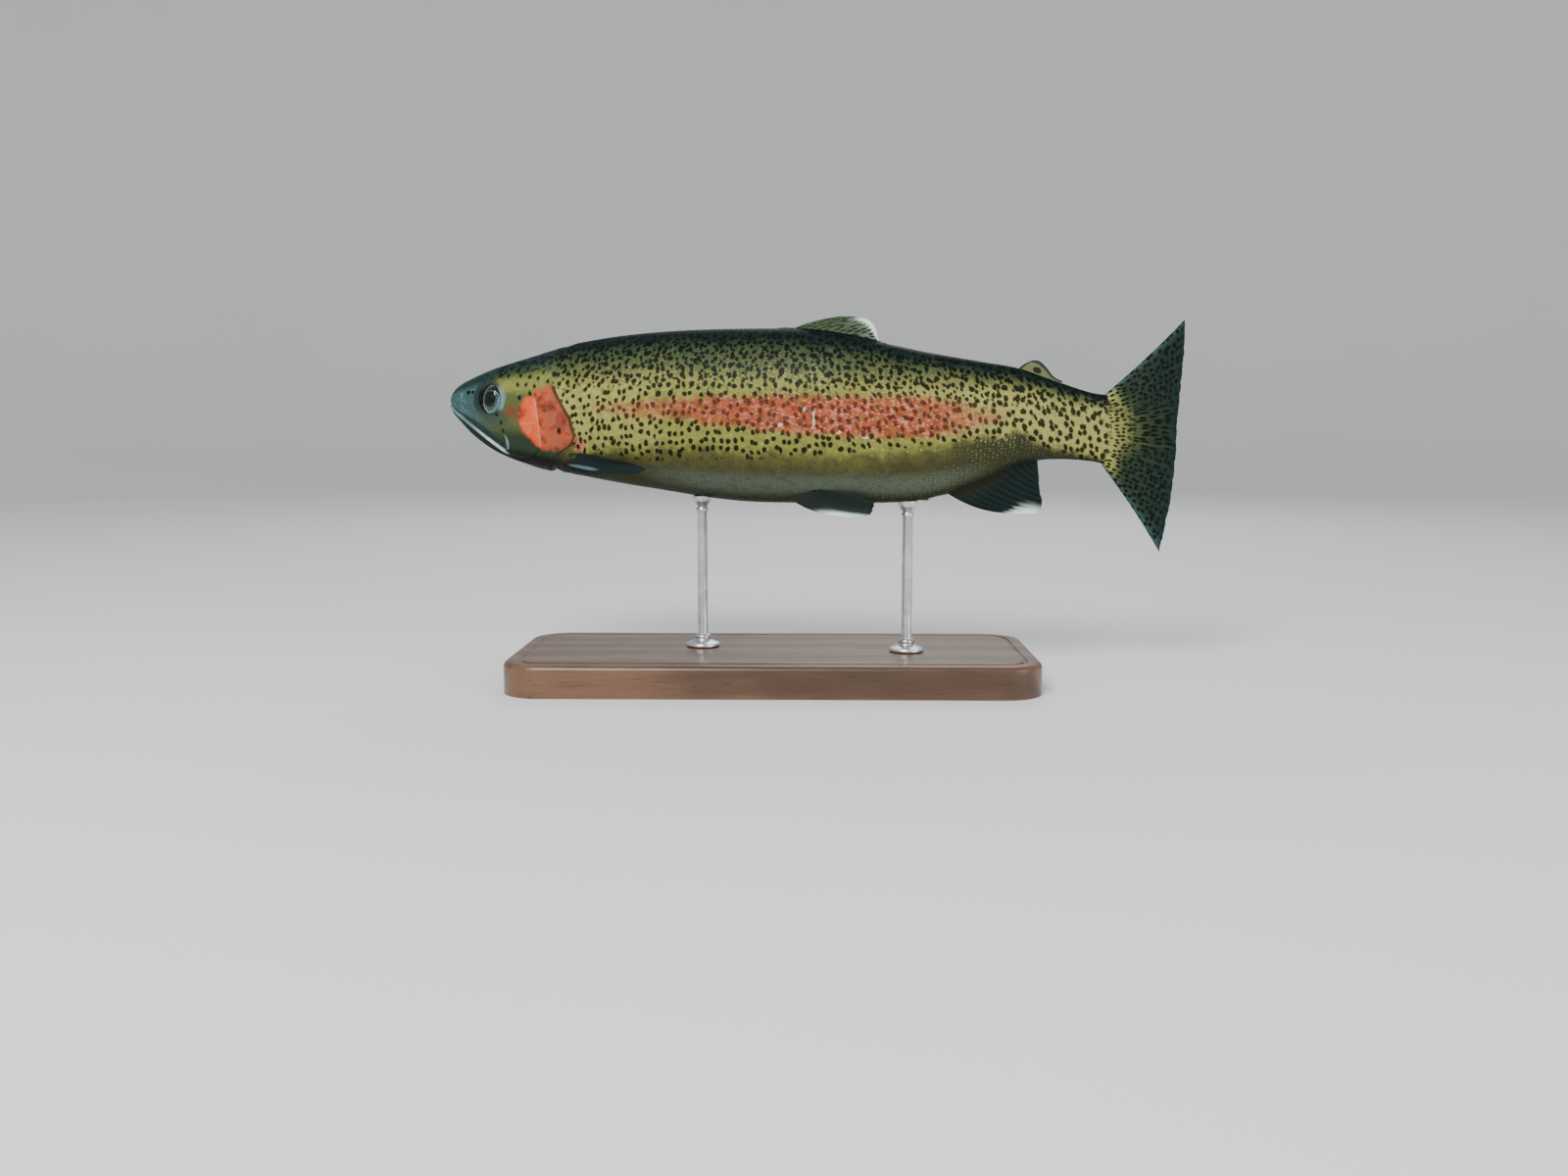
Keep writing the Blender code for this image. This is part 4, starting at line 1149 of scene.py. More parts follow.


# The base colours. Every tone is one of them or a mix of two: the fish's own colours, and some painted shade
# and painted glints.
INK = (0.002, 0.004, 0.003)
BOTTLE = (0.008, 0.020, 0.014)
MOSS = (0.05, 0.07, 0.03)
STRAW = (0.28, 0.28, 0.06)
BRONZE = (0.06, 0.055, 0.02)
CREAM = (0.45, 0.40, 0.20)
ROSE = (0.30, 0.065, 0.03)
SHELL = (0.60, 0.28, 0.18)
CORAL = (0.65, 0.08, 0.02)
WINE = (0.09, 0.02, 0.012)
SLATE = (0.03, 0.055, 0.055)
TEAL = (0.018, 0.046, 0.043)
ICE = (0.30, 0.55, 0.58)
MILK = (0.62, 0.78, 0.70)

TONES = {
    "back": blend(INK, TEAL, 0.25),
    "back_mid": blend(BOTTLE, MOSS, 0.9),
    "upper": blend(MOSS, STRAW, 0.12),
    "flank": blend(MOSS, STRAW, 0.68),
    "shoulder": blend(STRAW, CREAM, 0.15),
    "nape": blend(MOSS, STRAW, 0.25),
    "below": blend(MOSS, STRAW, 0.68),
    "olive": blend(BRONZE, STRAW, 0.1),
    # low and edge: partly the underside's own olive and partly painted shade.
    "low": blend(BOTTLE, BRONZE, 0.8),
    "belly": blend(BRONZE, ICE, 0.10),
    "edge": blend(BOTTLE, BRONZE, 0.3),
    # glint and gold: painted glints on the scales.
    "glint": blend(STRAW, CREAM, 0.8),
    "gold": blend(BRONZE, CREAM, 0.35),
    "stalk": blend(STRAW, CREAM, 0.2),
    # Painted shade on the stalk's underside, over its own darker tone.
    "stalk_underside_and_shade": blend(BOTTLE, BRONZE, 0.5),
    "tail_root": blend(MOSS, STRAW, 0.1),
    "tail_fan": blend(BOTTLE, MOSS, 0.2),
    "tail_rim": blend(INK, TEAL, 0.4),
    "rose": ROSE,
    "rose_pale": blend(ROSE, SHELL, 0.85),
    "spot": INK,
    "spot_rose": blend(INK, WINE, 0.4),
    "orange": CORAL,
    "orange_worn": blend(CORAL, SHELL, 0.5),
    "patch": blend(WINE, ROSE, 0.4),
    "red": blend(ROSE, SHELL, 0.08),
    "red_dark": blend(WINE, ROSE, 0.15),
    "red_rim": blend(BOTTLE, WINE, 0.6),
    "salmon": blend(ROSE, SHELL, 0.3),
    "crease": blend(CORAL, SHELL, 0.8),
    "crown": blend(INK, TEAL, 0.55),
    "snout": blend(TEAL, ICE, 0.07),
    "snout_light": blend(TEAL, ICE, 0.25),
    "behind_brow": blend(MOSS, STRAW, 0.6),
    "under_eye": blend(SLATE, MOSS, 0.5),
    "cheek": blend(MOSS, STRAW, 0.12),
    "cheek_low": blend(BOTTLE, MOSS, 0.4),
    "jaw": blend(INK, BOTTLE, 0.4),
    # Painted highlight along the lower jaw's upper edge.
    "lip_highlight_front": blend(TEAL, ICE, 0.4),
    "lip_highlight_rear": MILK,
    "plate": blend(INK, SLATE, 0.4),
    # Painted highlight on the jaw plate's rear edge.
    "plate_edge_highlight": blend(SLATE, ICE, 0.5),
    # Painted shade under the head.
    "throat": INK,
    "throat_light": blend(INK, SLATE, 0.75),
    "eye_socket": blend(INK, SLATE, 0.4),
    "behind_eye": blend(SLATE, ICE, 0.4),
    "nostril": INK,
    "scar": blend(CREAM, MILK, 0.5),
}

# The rose stripe: from its point behind the head to its end, as shares, and its middle's two levels.
STRIPE_FRONT, STRIPE_FULL, STRIPE_FADES, STRIPE_END = 0.19, 0.50, 0.62, 0.77
STRIPE_HALF, STRIPE_HIGH, STRIPE_LOW = 0.025, 0.017, 0.005
# The lower edges of the spotted part and of the gold, as (share, up).
SPOTS_FOOT = ((0.12, -0.01), (0.20, -0.04), (0.30, -0.05), (0.50, -0.045), (0.74, -0.02), (0.88, -0.065))
GOLD_FOOT = ((0.12, -0.035), (0.35, -0.03), (0.55, -0.04), (0.74, -0.015), (0.88, -0.06))
# Bowed lines down the head: share and level of the bow's middle, and how fast its ends turn back.
BAND_FRONT = (0.113, 0.005, 16.0)
CREASE = (0.141, -0.010, -2.7)
# Pale scars on the left flank: their middles and half sizes.
SCARS = (
    ((0.50, 0.005), (0.0014, 0.012)),
    ((0.49, 0.016), (0.003, 0.002)),
    ((0.46, -0.004), (0.003, 0.002)),
    ((0.53, -0.013), (0.002, 0.002)),
    ((0.56, -0.020), (0.004, 0.002)),
)
# How the ground darkens upwards: height (0 at the widest part, 1 on the back) and tone.
FLANK_RAMP = ((0.38, "flank"), (0.54, "upper"), (0.70, "back_mid"), (0.88, "back"))
SHOULDER_RAMP = ((0.34, "shoulder"), (0.52, "nape"), (0.70, "back_mid"), (0.88, "back"))
STALK_RAMP = ((0.46, "stalk"), (0.72, "upper"), (0.88, "back"))
HEAD_RAMP = (
    (0.22, "cheek"), (0.34, "behind_brow"), (0.52, "behind_brow"), (0.66, "back_mid"), (0.80, "crown"),
)
# Ovals on the head and behind it: middle and half size, as (share, up).
UNDER_EYE = ((0.070, 0.004), (0.028, 0.013))
CHEEK_PATCH = ((0.108, 0.013), (0.013, 0.009))
COVER_STAINS = (((0.157, 0.018), (0.012, 0.007)), ((0.174, 0.000), (0.006, 0.015)))
PLATE_END = ((0.0880, -0.0270), (0.0042, 0.0095))
BEFORE_PLATE_END = ((0.0855, -0.0262), (0.0042, 0.0095))
THROAT_LIGHT = ((0.165, -0.044), (0.013, 0.0045))
BEHIND_COVER = ((0.196, -0.029), (0.010, 0.008))
NOSTRIL_HALF = 0.0028
# Patches of the noise that roughens every marking: how many cloudy ones and fine ones fit in LENGTH.
CLOUDS, GRAINS = 42, 190
# Millimetres between spots on the flank and between the back's smaller ones, and how unevenly they stand.
SPOT_PITCH, SMALL_SPOT_PITCH = 4.3, 3.5
SPOT_JITTER, SMALL_SPOT_JITTER, TAIL_SPOT_JITTER, FIN_SPOT_JITTER = 0.72, 0.80, 0.62, 0.75
SMALL_SPOTS_OFF = (41.3, 17.9, 0.0)  # millimetres, so that the two kinds don't share their places
# Radii as shares of a pitch: the flank's, what luck and the rear of the body add to it, and the small ones'.
SPOT_RADIUS, SPOT_LUCK, SPOT_REAR, SMALL_SPOT_RADIUS = 0.245, 0.08, 0.045, 0.24
SPOT_SHAPE = 0.84  # a spot's width over its height
SPOT_DRIFTS = ((0.11, 3.4), (0.60, 0.8))  # slow and quick: patches in a millimetre, and millimetres of drift
# The tail's spots stand in rows that would meet in a point. How many rows fit in a radian, and how many
# millimetres apart they stand in one: the dots on the lobes, and the dashes between the middle rays.
TAIL_FOCUS = (0.74, -0.01)
TAIL_DOTS, TAIL_DASHES = (30, 4.4), (40, 9.0)
TAIL_SPOTS_TAKE_OVER = (0.862, 0.874)  # from the flank's spots, as shares
DORSAL_SPOT_PITCH = 3.9  # millimetres along a ray
RAY_JOINTS = 4.6  # radians of their wave in a millimetre
# On a scale, as shares of its length: the middle of its pale hub, where its painted glint sits, the hub's
# half length and its half width.
HUB_MIDDLE, HUB_LENGTH, HUB_WIDTH = 0.70, 0.16, 0.14
GROWTH_RINGS = 90  # radians of their wave along a scale
# Depths of the finest relief, in metres.
SKIN_GRAIN, SCALE_GRAIN, FIN_GRAIN = 0.00016, 0.00005, 0.00008


class FishFinish(Finish):
    """A finish that knows where it is on the fish."""

    def __init__(self, name):
        super().__init__(name, **{"Specular IOR Level": 0.05, "Coat Roughness": 0.25})
        self.place, self.share, self.side, self.up = self.attribute("fish")
        self.cloud = self.noise(self.place, CLOUDS, 3) - 0.5
        self.fine = self.noise(self.place, GRAINS, 3) - 0.5

    @property
    def height(self):
        """-1 on the belly's midline, 0 at the widest part and 1 on the back's midline."""
        return self.attribute("lie")[3]

    def lay(self, colour, tone, mask):
        return self.mix(colour, TONES[tone], mask)

    def tones(self, x, stops):
        return self.ramp(x, [(at, TONES[tone]) for at, tone in stops])

    def patches(self, count, detail=3):
        """Noise with so many patches in LENGTH."""
        return self.noise(self.place, count, detail)

    def oval(self, form, soft=0.35, ragged=0.0):
        """A soft oval mask on the side of the fish."""
        middle, half = form
        share = self.share + (self.cloud * 0.6 + self.fine * 0.5) * ragged
        up = self.up + (self.fine * 0.7 - self.cloud * 0.5) * ragged
        across, over = (share - middle[0]) / half[0], (up - middle[1]) / half[1]
        return (across * across + over * over).rise(1 + soft, 1 - soft)

    def ahead_of_gills(self):
        """How far ahead of the gill cover's rear edge."""
        knots = [(up * 2 + 0.5, share) for up, share in reversed(GILL_EDGE)]
        return self.along(self.up * 2 + 0.5, knots, 0.10, 0.20) - self.share

    def bow(self, share, level, bend):
        """A share that follows a bowed line down the head."""
        off = self.up - level
        return off * off * bend + share

    def either(self, mask, first, second):
        """A number: first where the mask is 0 and second where it is 1."""
        return self.number("ShaderNodeMix", {"data_type": "FLOAT"}, {0: mask, 2: first, 3: second})


def rose_stripe(f):
    """1 along the rose stripe, with ragged edges, faint in front and behind."""
    opening = ((f.share - STRIPE_FRONT) / (STRIPE_FULL - STRIPE_FRONT)).most(0.0).least(1.0) ** 0.8
    half = opening * f.share.rise(STRIPE_END, STRIPE_FADES) * STRIPE_HALF
    middle = STRIPE_HIGH - f.share.rise(0.25, STRIPE_FADES) * (STRIPE_HIGH - STRIPE_LOW)
    off = (f.up - middle).size() + f.cloud * 0.016 + f.fine * 0.018
    stripe = (half - off).rise(-0.006, 0.007) * half.rise(0.0, 0.008)
    return stripe * (0.65 + 0.35 * f.share.rise(0.24, 0.40)) * (1 - 0.4 * f.share.rise(0.62, 0.72))


def rose_colour(f):
    """The stripe's colour, streaked with paler and darker red, and how much of the ground shows through."""
    worn = f.patches(95, 4)
    streaks = f.noise(f.vector("MULTIPLY", f.place, (0.55, 1.0, 1.0)), 260, 3)
    paler = (worn * 0.5 + streaks * 0.5).rise(0.48, 0.66) * (0.65 + 0.25 * f.share.rise(0.50, 0.62))
    rose = f.lay(TONES["rose"], "rose_pale", paler)
    rose = f.lay(rose, "red_dark", f.patches(240).rise(0.55, 0.75) * 0.30)
    return rose, (worn * 0.6 + streaks * 0.4).rise(0.47, 0.36) * 0.55


def belly_colour_and_shade(f, below):
    """Gold, then olive, and the belly's pale middle, with painted shade darkening the underside. below falls
    to 0 where the gold ends.
    """
    share, height = f.share, f.height
    low = f.lay(TONES["below"], "shoulder", share.rise(0.38, 0.22) * 0.6)
    low = f.lay(low, "stalk", share.rise(0.60, 0.76))
    low = f.lay(low, "olive", below.rise(0.008, -0.012))
    # Partly the underside's own olive and partly painted shade: darker further below the gold.
    low = f.lay(low, "low", below.rise(-0.010, -0.030))
    low = f.lay(low, "edge", f.patches(70, 4).rise(0.48, 0.72) * below.rise(0.004, -0.012) * 0.45)
    # Painted shade along the stalk's underside, over its own darker tone.
    low = f.lay(low, "stalk_underside_and_shade", below.rise(0.008, -0.008) * share.rise(0.60, 0.72))
    low = f.lay(low, "belly", height.rise(-0.58, -0.78) * share.within(0.24, 0.36, 0.62, 0.74))
    # Painted shade: darker towards the belly's midline.
    return f.lay(low, "edge", height.rise(-0.84, -0.98))


def body_colour(f):
    """Ground colour of back, flank and belly, and how much of it is the rose stripe."""
    share, cloud, fine = f.share, f.cloud, f.fine
    level = f.height + cloud * 0.22 + fine * 0.18
    colour = f.mix(f.tones(level, FLANK_RAMP), f.tones(level, SHOULDER_RAMP), share.rise(0.36, 0.22))
    colour = f.mix(colour, f.tones(level, STALK_RAMP), share.rise(0.52, 0.74))
    below = f.up - f.along(share, GOLD_FOOT) + cloud * 0.028 + fine * 0.014
    colour = f.mix(colour, belly_colour_and_shade(f, below), below.rise(0.034, 0.008))
    stripe = rose_stripe(f)
    rose, bare = rose_colour(f)
    return f.mix(colour, rose, stripe * (1 - bare)), stripe


def head_ground(f):
    """Snout, crown, cheek, and the throat painted near-black as shade under the head."""
    cloud, fine, height = f.cloud, f.fine, f.height
    ragged = cloud * 0.009 + fine * 0.005
    share, up = f.share + ragged, f.up - ragged
    front = share.rise(0.078, 0.048)
    colour = f.tones(height + cloud * 0.16 + fine * 0.14, HEAD_RAMP)
    colour = f.lay(colour, "snout", front)
    colour = f.lay(colour, "snout_light", (cloud + fine).rise(-0.05, 0.25) * front * 0.8)
    colour = f.lay(colour, "crown", share.rise(0.084, 0.054) * height.rise(0.45, 0.75))
    colour = f.lay(colour, "under_eye", f.oval(UNDER_EYE, 0.6, 0.01) * 0.7)
    colour = f.lay(colour, "cheek_low", up.rise(-0.002, -0.022))
    # Painted shade: the underside of the head near-black.
    colour = f.lay(colour, "throat", (up + share * 0.14 + 0.0235).rise(0.007, -0.006))
    return f.lay(colour, "crown", f.patches(330).rise(0.54, 0.68) * 0.45)


def gill_cover_colour(f, colour):
    """The orange band, the pale crease behind it and the red gill cover."""
    cloud, fine = f.cloud, f.fine
    share, up = f.share + cloud * 0.011 + fine * 0.008, f.up - cloud * 0.011 + fine * 0.008
    crease = f.share - f.bow(*CREASE)
    into = share - f.bow(*BAND_FRONT)
    orange = f.lay(TONES["orange"], "orange_worn", (cloud + fine * 0.5).rise(-0.04, 0.26) * 0.7)
    orange = f.lay(orange, "patch", into.rise(0.006, -0.003) * 0.45)
    band = into.rise(-0.0035, 0.0050) * up.within(-0.041, -0.030, 0.027, 0.036)
    colour = f.mix(colour, orange, band * crease.rise(0.0010, -0.0006))
    colour = f.lay(colour, "patch", f.oval(CHEEK_PATCH, 0.9, 0.026) * f.patches(120).rise(0.30, 0.48) * 0.9)
    stain = f.patches(80, 4).rise(0.47, 0.66)
    red = f.lay(TONES["red"], "red_dark", stain * 0.85)
    red = f.lay(red, "orange", crease.rise(0.016, 0.001) * (0.5 - 0.4 * stain))
    red = f.lay(red, "orange", f.patches(110, 2).rise(0.50, 0.70) * 0.35)
    for form, ragged, strength in zip(COVER_STAINS, (0.025, 0.020), (0.7, 0.5)):
        red = f.lay(red, "red_dark", f.oval(form, 0.9, ragged) * strength)
    red = f.lay(red, "red_rim", (f.ahead_of_gills() + cloud * 0.006).rise(0.0065, 0.0010))
    top = (up - crease * 0.25).rise(0.0440, 0.0350)
    foot = (up + share * 0.12).rise(-0.021, -0.011)
    colour = f.mix(colour, red, crease.rise(-0.0004, 0.0008) * top * foot)
    pale = crease.size().rise(0.0017, 0.0004) * up.within(-0.036, -0.028, 0.024, 0.032)
    return f.lay(colour, "crease", pale * (0.6 + fine))


def eye_surround(f, colour):
    """The dark socket and the broken pale ring round it."""
    share, up = f.share, f.up
    far = ((share - EYE_SHARE) ** 2.0 + (up - EYE_UP) ** 2.0) ** 0.5
    colour = f.lay(colour, "eye_socket", far.rise(0.0270, 0.0215) * 0.85)
    ring = far.rise(0.0185, 0.0200) * (far + f.cloud * 0.004).rise(0.0268, 0.0238)
    behind = share.rise(0.0760, 0.0850) * (up - 0.030).size().rise(0.0190, 0.0110)
    colour = f.lay(colour, "behind_eye", ring * behind * 0.75)
    return f.lay(colour, "under_eye", ring * up.rise(0.0160, 0.0080) * 0.9)


def face_colour(f, colour):
    """The ring round the eye, the painted highlights along the lower lip and the plate's rear edge, the jaw's
    plate and the nostrils.
    """
    share, fine = f.share, f.fine
    colour = eye_surround(f, colour)
    under = MOUTH_LINE[0][1] - share * MOUTH_SLOPE - f.up
    colour = f.lay(colour, "plate", inside_plate(under, share))
    colour = f.lay(colour, "jaw", under.rise(0.0000, 0.0012) * share.rise(0.104, 0.090))
    # Painted highlight: a bright band along the lower jaw's upper edge, where light from above catches it.
    lip = under.within(0.0004, 0.0016, 0.0046, 0.0072) * share.rise(0.090, 0.080)
    lip_highlight_tone = f.mix(TONES["lip_highlight_front"], TONES["lip_highlight_rear"], share.rise(0.034, 0.066))
    colour = f.mix(colour, lip_highlight_tone, lip * (0.85 + fine))
    # A painted highlight along the plate's rear edge: a thin pale arc, an oval less the oval ahead of it.
    colour = f.lay(colour, "plate_edge_highlight", f.oval(PLATE_END, 0.3) * (1 - f.oval(BEFORE_PLATE_END, 0.3)) * 0.8)
    for at, level, size in NOSTRILS:
        half = NOSTRIL_HALF * size
        colour = f.lay(colour, "nostril", f.oval(((at, level), (half, half)), 0.5))
    return f.lay(colour, "throat_light", f.oval(THROAT_LIGHT, 0.8, 0.010) * 0.7)


def head_colour(f, colour):
    """The head, laid over the body's ground up to the gill opening, and where it is."""
    head = f.ahead_of_gills().rise(-0.0010, 0.0006)
    face = face_colour(f, gill_cover_colour(f, head_ground(f)))
    colour = f.lay(colour, "salmon", f.oval(BEHIND_COVER, 0.7, 0.012) * 0.85)
    # Painted shade on the chest under the gill cover, behind the throat.
    chest_shade = f.share.rise(0.235, 0.195) * (f.up + f.cloud * 0.010).rise(-0.044, -0.054)
    colour = f.lay(colour, "throat", chest_shade * 0.9)
    return f.mix(colour, face, head), head


def inside_plate(under, share):
    """The upper jaw's plate: a tapering strip over the mouth's line, with a round rear end."""
    over = under * -1
    reach = share.rise(0.012, 0.060) * 0.0085 + 0.0035
    strip = over.rise(-0.0004, 0.0010) * (reach - over).rise(-0.0010, 0.0012)
    return strip * share.rise(0.0935, 0.0885) * 0.85


def lattice_spots(f, small_over):
    """Dark, slightly upright spots, and the luck of each. Where small_over is 1, smaller ones fill in."""
    lie = f.attribute("lie")[0]
    drawn = lie
    for scale, reach in SPOT_DRIFTS:
        push = f.node("ShaderNodeTexNoise", {}, {"Vector": lie, "Scale": scale, "Detail": 1.0}, "Color")
        push = f.vector("MULTIPLY", f.vector("SUBTRACT", push, (0.5, 0.5, 0.5)), (reach, reach, 0.0))
        drawn = f.vector("ADD", drawn, push)
    drawn = f.vector("MULTIPLY", drawn, (1.0, SPOT_SHAPE, 0.0))
    near = f.cells(drawn, SPOT_JITTER, 1 / SPOT_PITCH)
    luck = f.cells(drawn, SPOT_JITTER, 1 / SPOT_PITCH, "Color")
    radius = SPOT_RADIUS + SPOT_LUCK * luck + SPOT_REAR * f.share.rise(0.66, 0.80)
    spots = (near - radius).rise(0.065, -0.045)
    small = f.cells(f.vector("ADD", drawn, SMALL_SPOTS_OFF), SMALL_SPOT_JITTER, 1 / SMALL_SPOT_PITCH)
    return spots.most((small - SMALL_SPOT_RADIUS).rise(0.06, -0.04) * small_over), luck


def tail_spots(f):
    """Spots that fan out with the tail's rays: dots on the lobes, and dashes between the middle rays."""
    across, over = f.share - TAIL_FOCUS[0], f.up - TAIL_FOCUS[1]
    reach = (across * across + over * over) ** 0.5
    turn = f.number("ShaderNodeMath", {"operation": "ARCTAN2"}, {0: over, 1: across})
    dots, dashes = (
        f.cells(f.join(turn * turns + f.cloud * 0.8, reach / (long * MM) + f.fine * 0.6), TAIL_SPOT_JITTER)
        for turns, long in (TAIL_DOTS, TAIL_DASHES)
    )
    middle = over.size().rise(0.045, 0.020) * across.rise(0.150, 0.175)
    return f.either(middle, dots.rise(0.42, 0.27), dashes.rise(0.45, 0.30))


def tail_ground(f, colour):
    """The tail root's gold, darkening outwards to the lobes and to the fin's blue-green rim."""
    lobes = (f.up - TAIL_FOCUS[1]).size().rise(0.015, 0.055) * 0.050 * f.share.rise(0.865, 0.900)
    reach = f.share + lobes + f.cloud * 0.030
    colour = f.lay(colour, "tail_root", reach.rise(0.865, 0.915))
    colour = f.lay(colour, "tail_fan", reach.rise(0.895, 0.945))
    return f.lay(colour, "tail_rim", reach.rise(0.945, 1.010))


def spot_mask(f, head):
    """Spots over back, flank and tail root, denser on the back, with a few on the head."""
    height = f.height
    spots, luck = lattice_spots(f, height.rise(0.12, 0.45))
    spots = f.either((f.share + f.cloud * 0.01).rise(*TAIL_SPOTS_TAKE_OVER), spots, tail_spots(f))
    foot = f.up - f.along(f.share, SPOTS_FOOT) + f.cloud * 0.016
    limit = foot.rise(-0.001, 0.004) * (luck + foot * 45).rise(0.30, 0.60)
    body = spots * limit.most(f.share.rise(0.870, 0.885))
    crown = spots * height.rise(0.58, 0.74) * f.share.rise(0.030, 0.080) * 0.9
    return f.either(head, body, crown.most(f.attribute("freckles")[1]))


def scale_colour_and_glint(f, colour, stripe):
    """Each scale's dark rim, and the painted glints on its pale hub and how strong they are."""
    share, height = f.share, f.height
    _, out, beside, luck = f.attribute("scale")
    other = (luck * 17.0).wave() * 0.5 + 0.5
    aside = beside + (luck * 41.0).wave() * 0.16
    along_hub = (out - HUB_MIDDLE - 0.14 * other) / HUB_LENGTH
    pale = (along_hub ** 2.0 + (aside / (HUB_WIDTH + 0.12 * luck)) ** 2.0).rise(1.1, 0.10)
    rim = (((out - 0.5) * 2) ** 2.0 + (beside * 2) ** 2.0).rise(0.72, 1.0)
    # The net of dark rims: on the flank, lower down behind the vent, and not on the tail's root.
    net = height.within(0.12, 0.34, 0.66, 0.95)
    net = net.most(share.rise(0.62, 0.78) * height.within(-0.75, -0.45, 0.60, 0.85) * 0.9)
    net = net * share.rise(0.890, 0.865)
    colour = f.lay(colour, "back", rim * (0.05 + 0.40 * net) * (0.6 + 0.4 * luck))
    colour = f.lay(colour, "back", other.rise(0.75, 1.0) * (0.20 + 0.25 * stripe))
    # Painted glints: pale hubs lit up on the upper flank.
    sprinkled = other.rise(0.15, 0.95) * (0.45 + 0.3 * share.rise(0.20, 0.40))
    colour = f.lay(colour, "glint", pale * net * sprinkled * height.rise(0.85, 0.35))
    # Painted glints on a few chosen scales, more of them in the rose stripe.
    chosen = luck.rise(0.80, 0.96).most(luck.rise(0.45, 0.70) * stripe)
    painted_glint = chosen * pale * height.within(-0.50, -0.30, 0.30, 0.55) * share.rise(0.30, 0.50)
    colour = f.mix(colour, f.mix(TONES["glint"], TONES["rose_pale"], stripe), painted_glint * 0.9)
    # Painted golden glints on the hubs low on the rear belly.
    low = (height - share.rise(0.56, 0.70) * 0.25).rise(-0.66, -0.90) * share.within(0.40, 0.60, 0.78, 0.86)
    return f.lay(colour, "gold", other.rise(0.3, 1.0) * pale * low * 0.6), painted_glint


def trout_finish(name, coat):
    """The skin's finish, or the scales' with the same markings and each scale's own rim and painted glint."""
    f = FishFinish(name)
    colour, stripe = body_colour(f)
    colour, head = head_colour(f, tail_ground(f, colour))
    spots = spot_mask(f, head)
    rough = 0.46 + f.fine * 0.20 + spots * 0.05
    if coat:
        colour, painted_glint = scale_colour_and_glint(f, colour, stripe)
        rough = rough - painted_glint * 0.12
    left = f.side.rise(0.0, 0.01)
    for scar in SCARS:
        colour = f.lay(colour, "scar", f.oval(scar, 0.6, 0.012) * left * 0.75)
    spot = f.mix(TONES["spot"], TONES["spot_rose"], stripe)
    colour = f.mix(colour, spot, spots * (0.95 - 0.18 * stripe))
    grain = f.patches(900, 2)
    if coat:
        rings = (f.attribute("scale")[1] * GROWTH_RINGS).wave() * 0.5 + 0.5
        normal = f.bump(rings * 0.35 + grain * 0.65, SCALE_GRAIN)
    else:
        normal = f.bump(grain * 0.4 + f.fine + f.cloud * 0.6, SKIN_GRAIN)
    f.set({"Base Color": colour, "Roughness": rough, "Coat Weight": 0.03, "Normal": normal})
    return f.material


# Fin colours: root, skin between the rays, and rays. The tail fin's ground goes on from the body's.
FIN_TONES = {
    "dorsal_fin": (blend(INK, MOSS, 0.5), blend(BOTTLE, MOSS, 0.9), blend(MOSS, ICE, 0.15)),
    "adipose_fin": (MOSS, blend(MOSS, CREAM, 0.22), blend(MOSS, CREAM, 0.15)),
    "anal_fin": (blend(INK, BRONZE, 0.45), blend(INK, TEAL, 0.15), blend(INK, SLATE, 0.5)),
    "pectoral_fin": (blend(INK, SLATE, 0.35), blend(INK, SLATE, 0.2), blend(INK, SLATE, 0.55)),
    "pelvic_fin": (blend(INK, BRONZE, 0.30), blend(INK, SLATE, 0.15), blend(INK, SLATE, 0.45)),
}
TAIL_RAY = blend(BOTTLE, MOSS, 0.9)
DORSAL_CLEAR = blend(MOSS, MILK, 0.22)
PECTORAL_HIGHLIGHT = blend(SLATE, ICE, 0.35)


def fin_ground(f, kind, ray):
    """A fin's root, its skin and its rays."""
    along = f.attribute("fan")[2]
    if kind == "tail_fin":
        return f.mix(tail_ground(f, TONES["stalk"]), TAIL_RAY, ray * ray * 0.30 * along.rise(0.10, 0.40))
    root, skin, bone = FIN_TONES[kind]
    colour = f.mix(root, skin, along.rise(0.05, 0.40))
    return f.mix(colour, bone, ray * ray * 0.4 * along.rise(0.05, 0.30))


def dorsal_marks(f, colour, wide, far):
    """A paler rear, a white tip, and dark spots in rows between the rays."""
    _, across, along, length = f.attribute("fan")
    rear, outer = wide.rise(0.62, 0.90) * far.rise(0.25, 0.55), wide.rise(0.25, 0.6) * far.rise(0.60, 0.85)
    colour = f.mix(colour, DORSAL_CLEAR, rear.most(outer * 0.5) * 0.8)
    colour = f.mix(colour, MILK, wide.rise(0.22, 0.50) * far.rise(0.82, 0.93))
    gap = across * FINS["dorsal_fin"]["rays"] + f.cloud * 0.5
    dots = f.cells(f.join(gap, length / DORSAL_SPOT_PITCH + f.fine * 0.8), FIN_SPOT_JITTER).rise(0.37, 0.25)
    return f.lay(colour, "spot", dots * along.rise(0.94, 0.84) * 0.85)


def tail_marks(f, colour, wide, far):
    """A dark rear edge, blue-green outer edges and the fan of spots."""
    across = f.attribute("fan")[1]
    colour = f.lay(colour, "crown", far.rise(0.80, 0.97) * 0.7)
    colour = f.lay(colour, "snout", (across - 0.5).size().rise(0.450, 0.490) * 0.7)
    return f.lay(colour, "spot", tail_spots(f) * (0.95 - 0.35 * far.rise(0.86, 0.96)))


def adipose_marks(f, colour, wide, far):
    """A dark rim and one round spot."""
    _, across, along, _ = f.attribute("fan")
    colour = f.lay(colour, "crown", far.rise(0.80, 0.94).most(across.rise(0.12, 0.03)))
    spot = ((across - 0.42) / 0.11) ** 2.0 + ((along - 0.62) / 0.14) ** 2.0
    return f.lay(colour, "spot", spot.rise(1.3, 0.7) * 0.9)


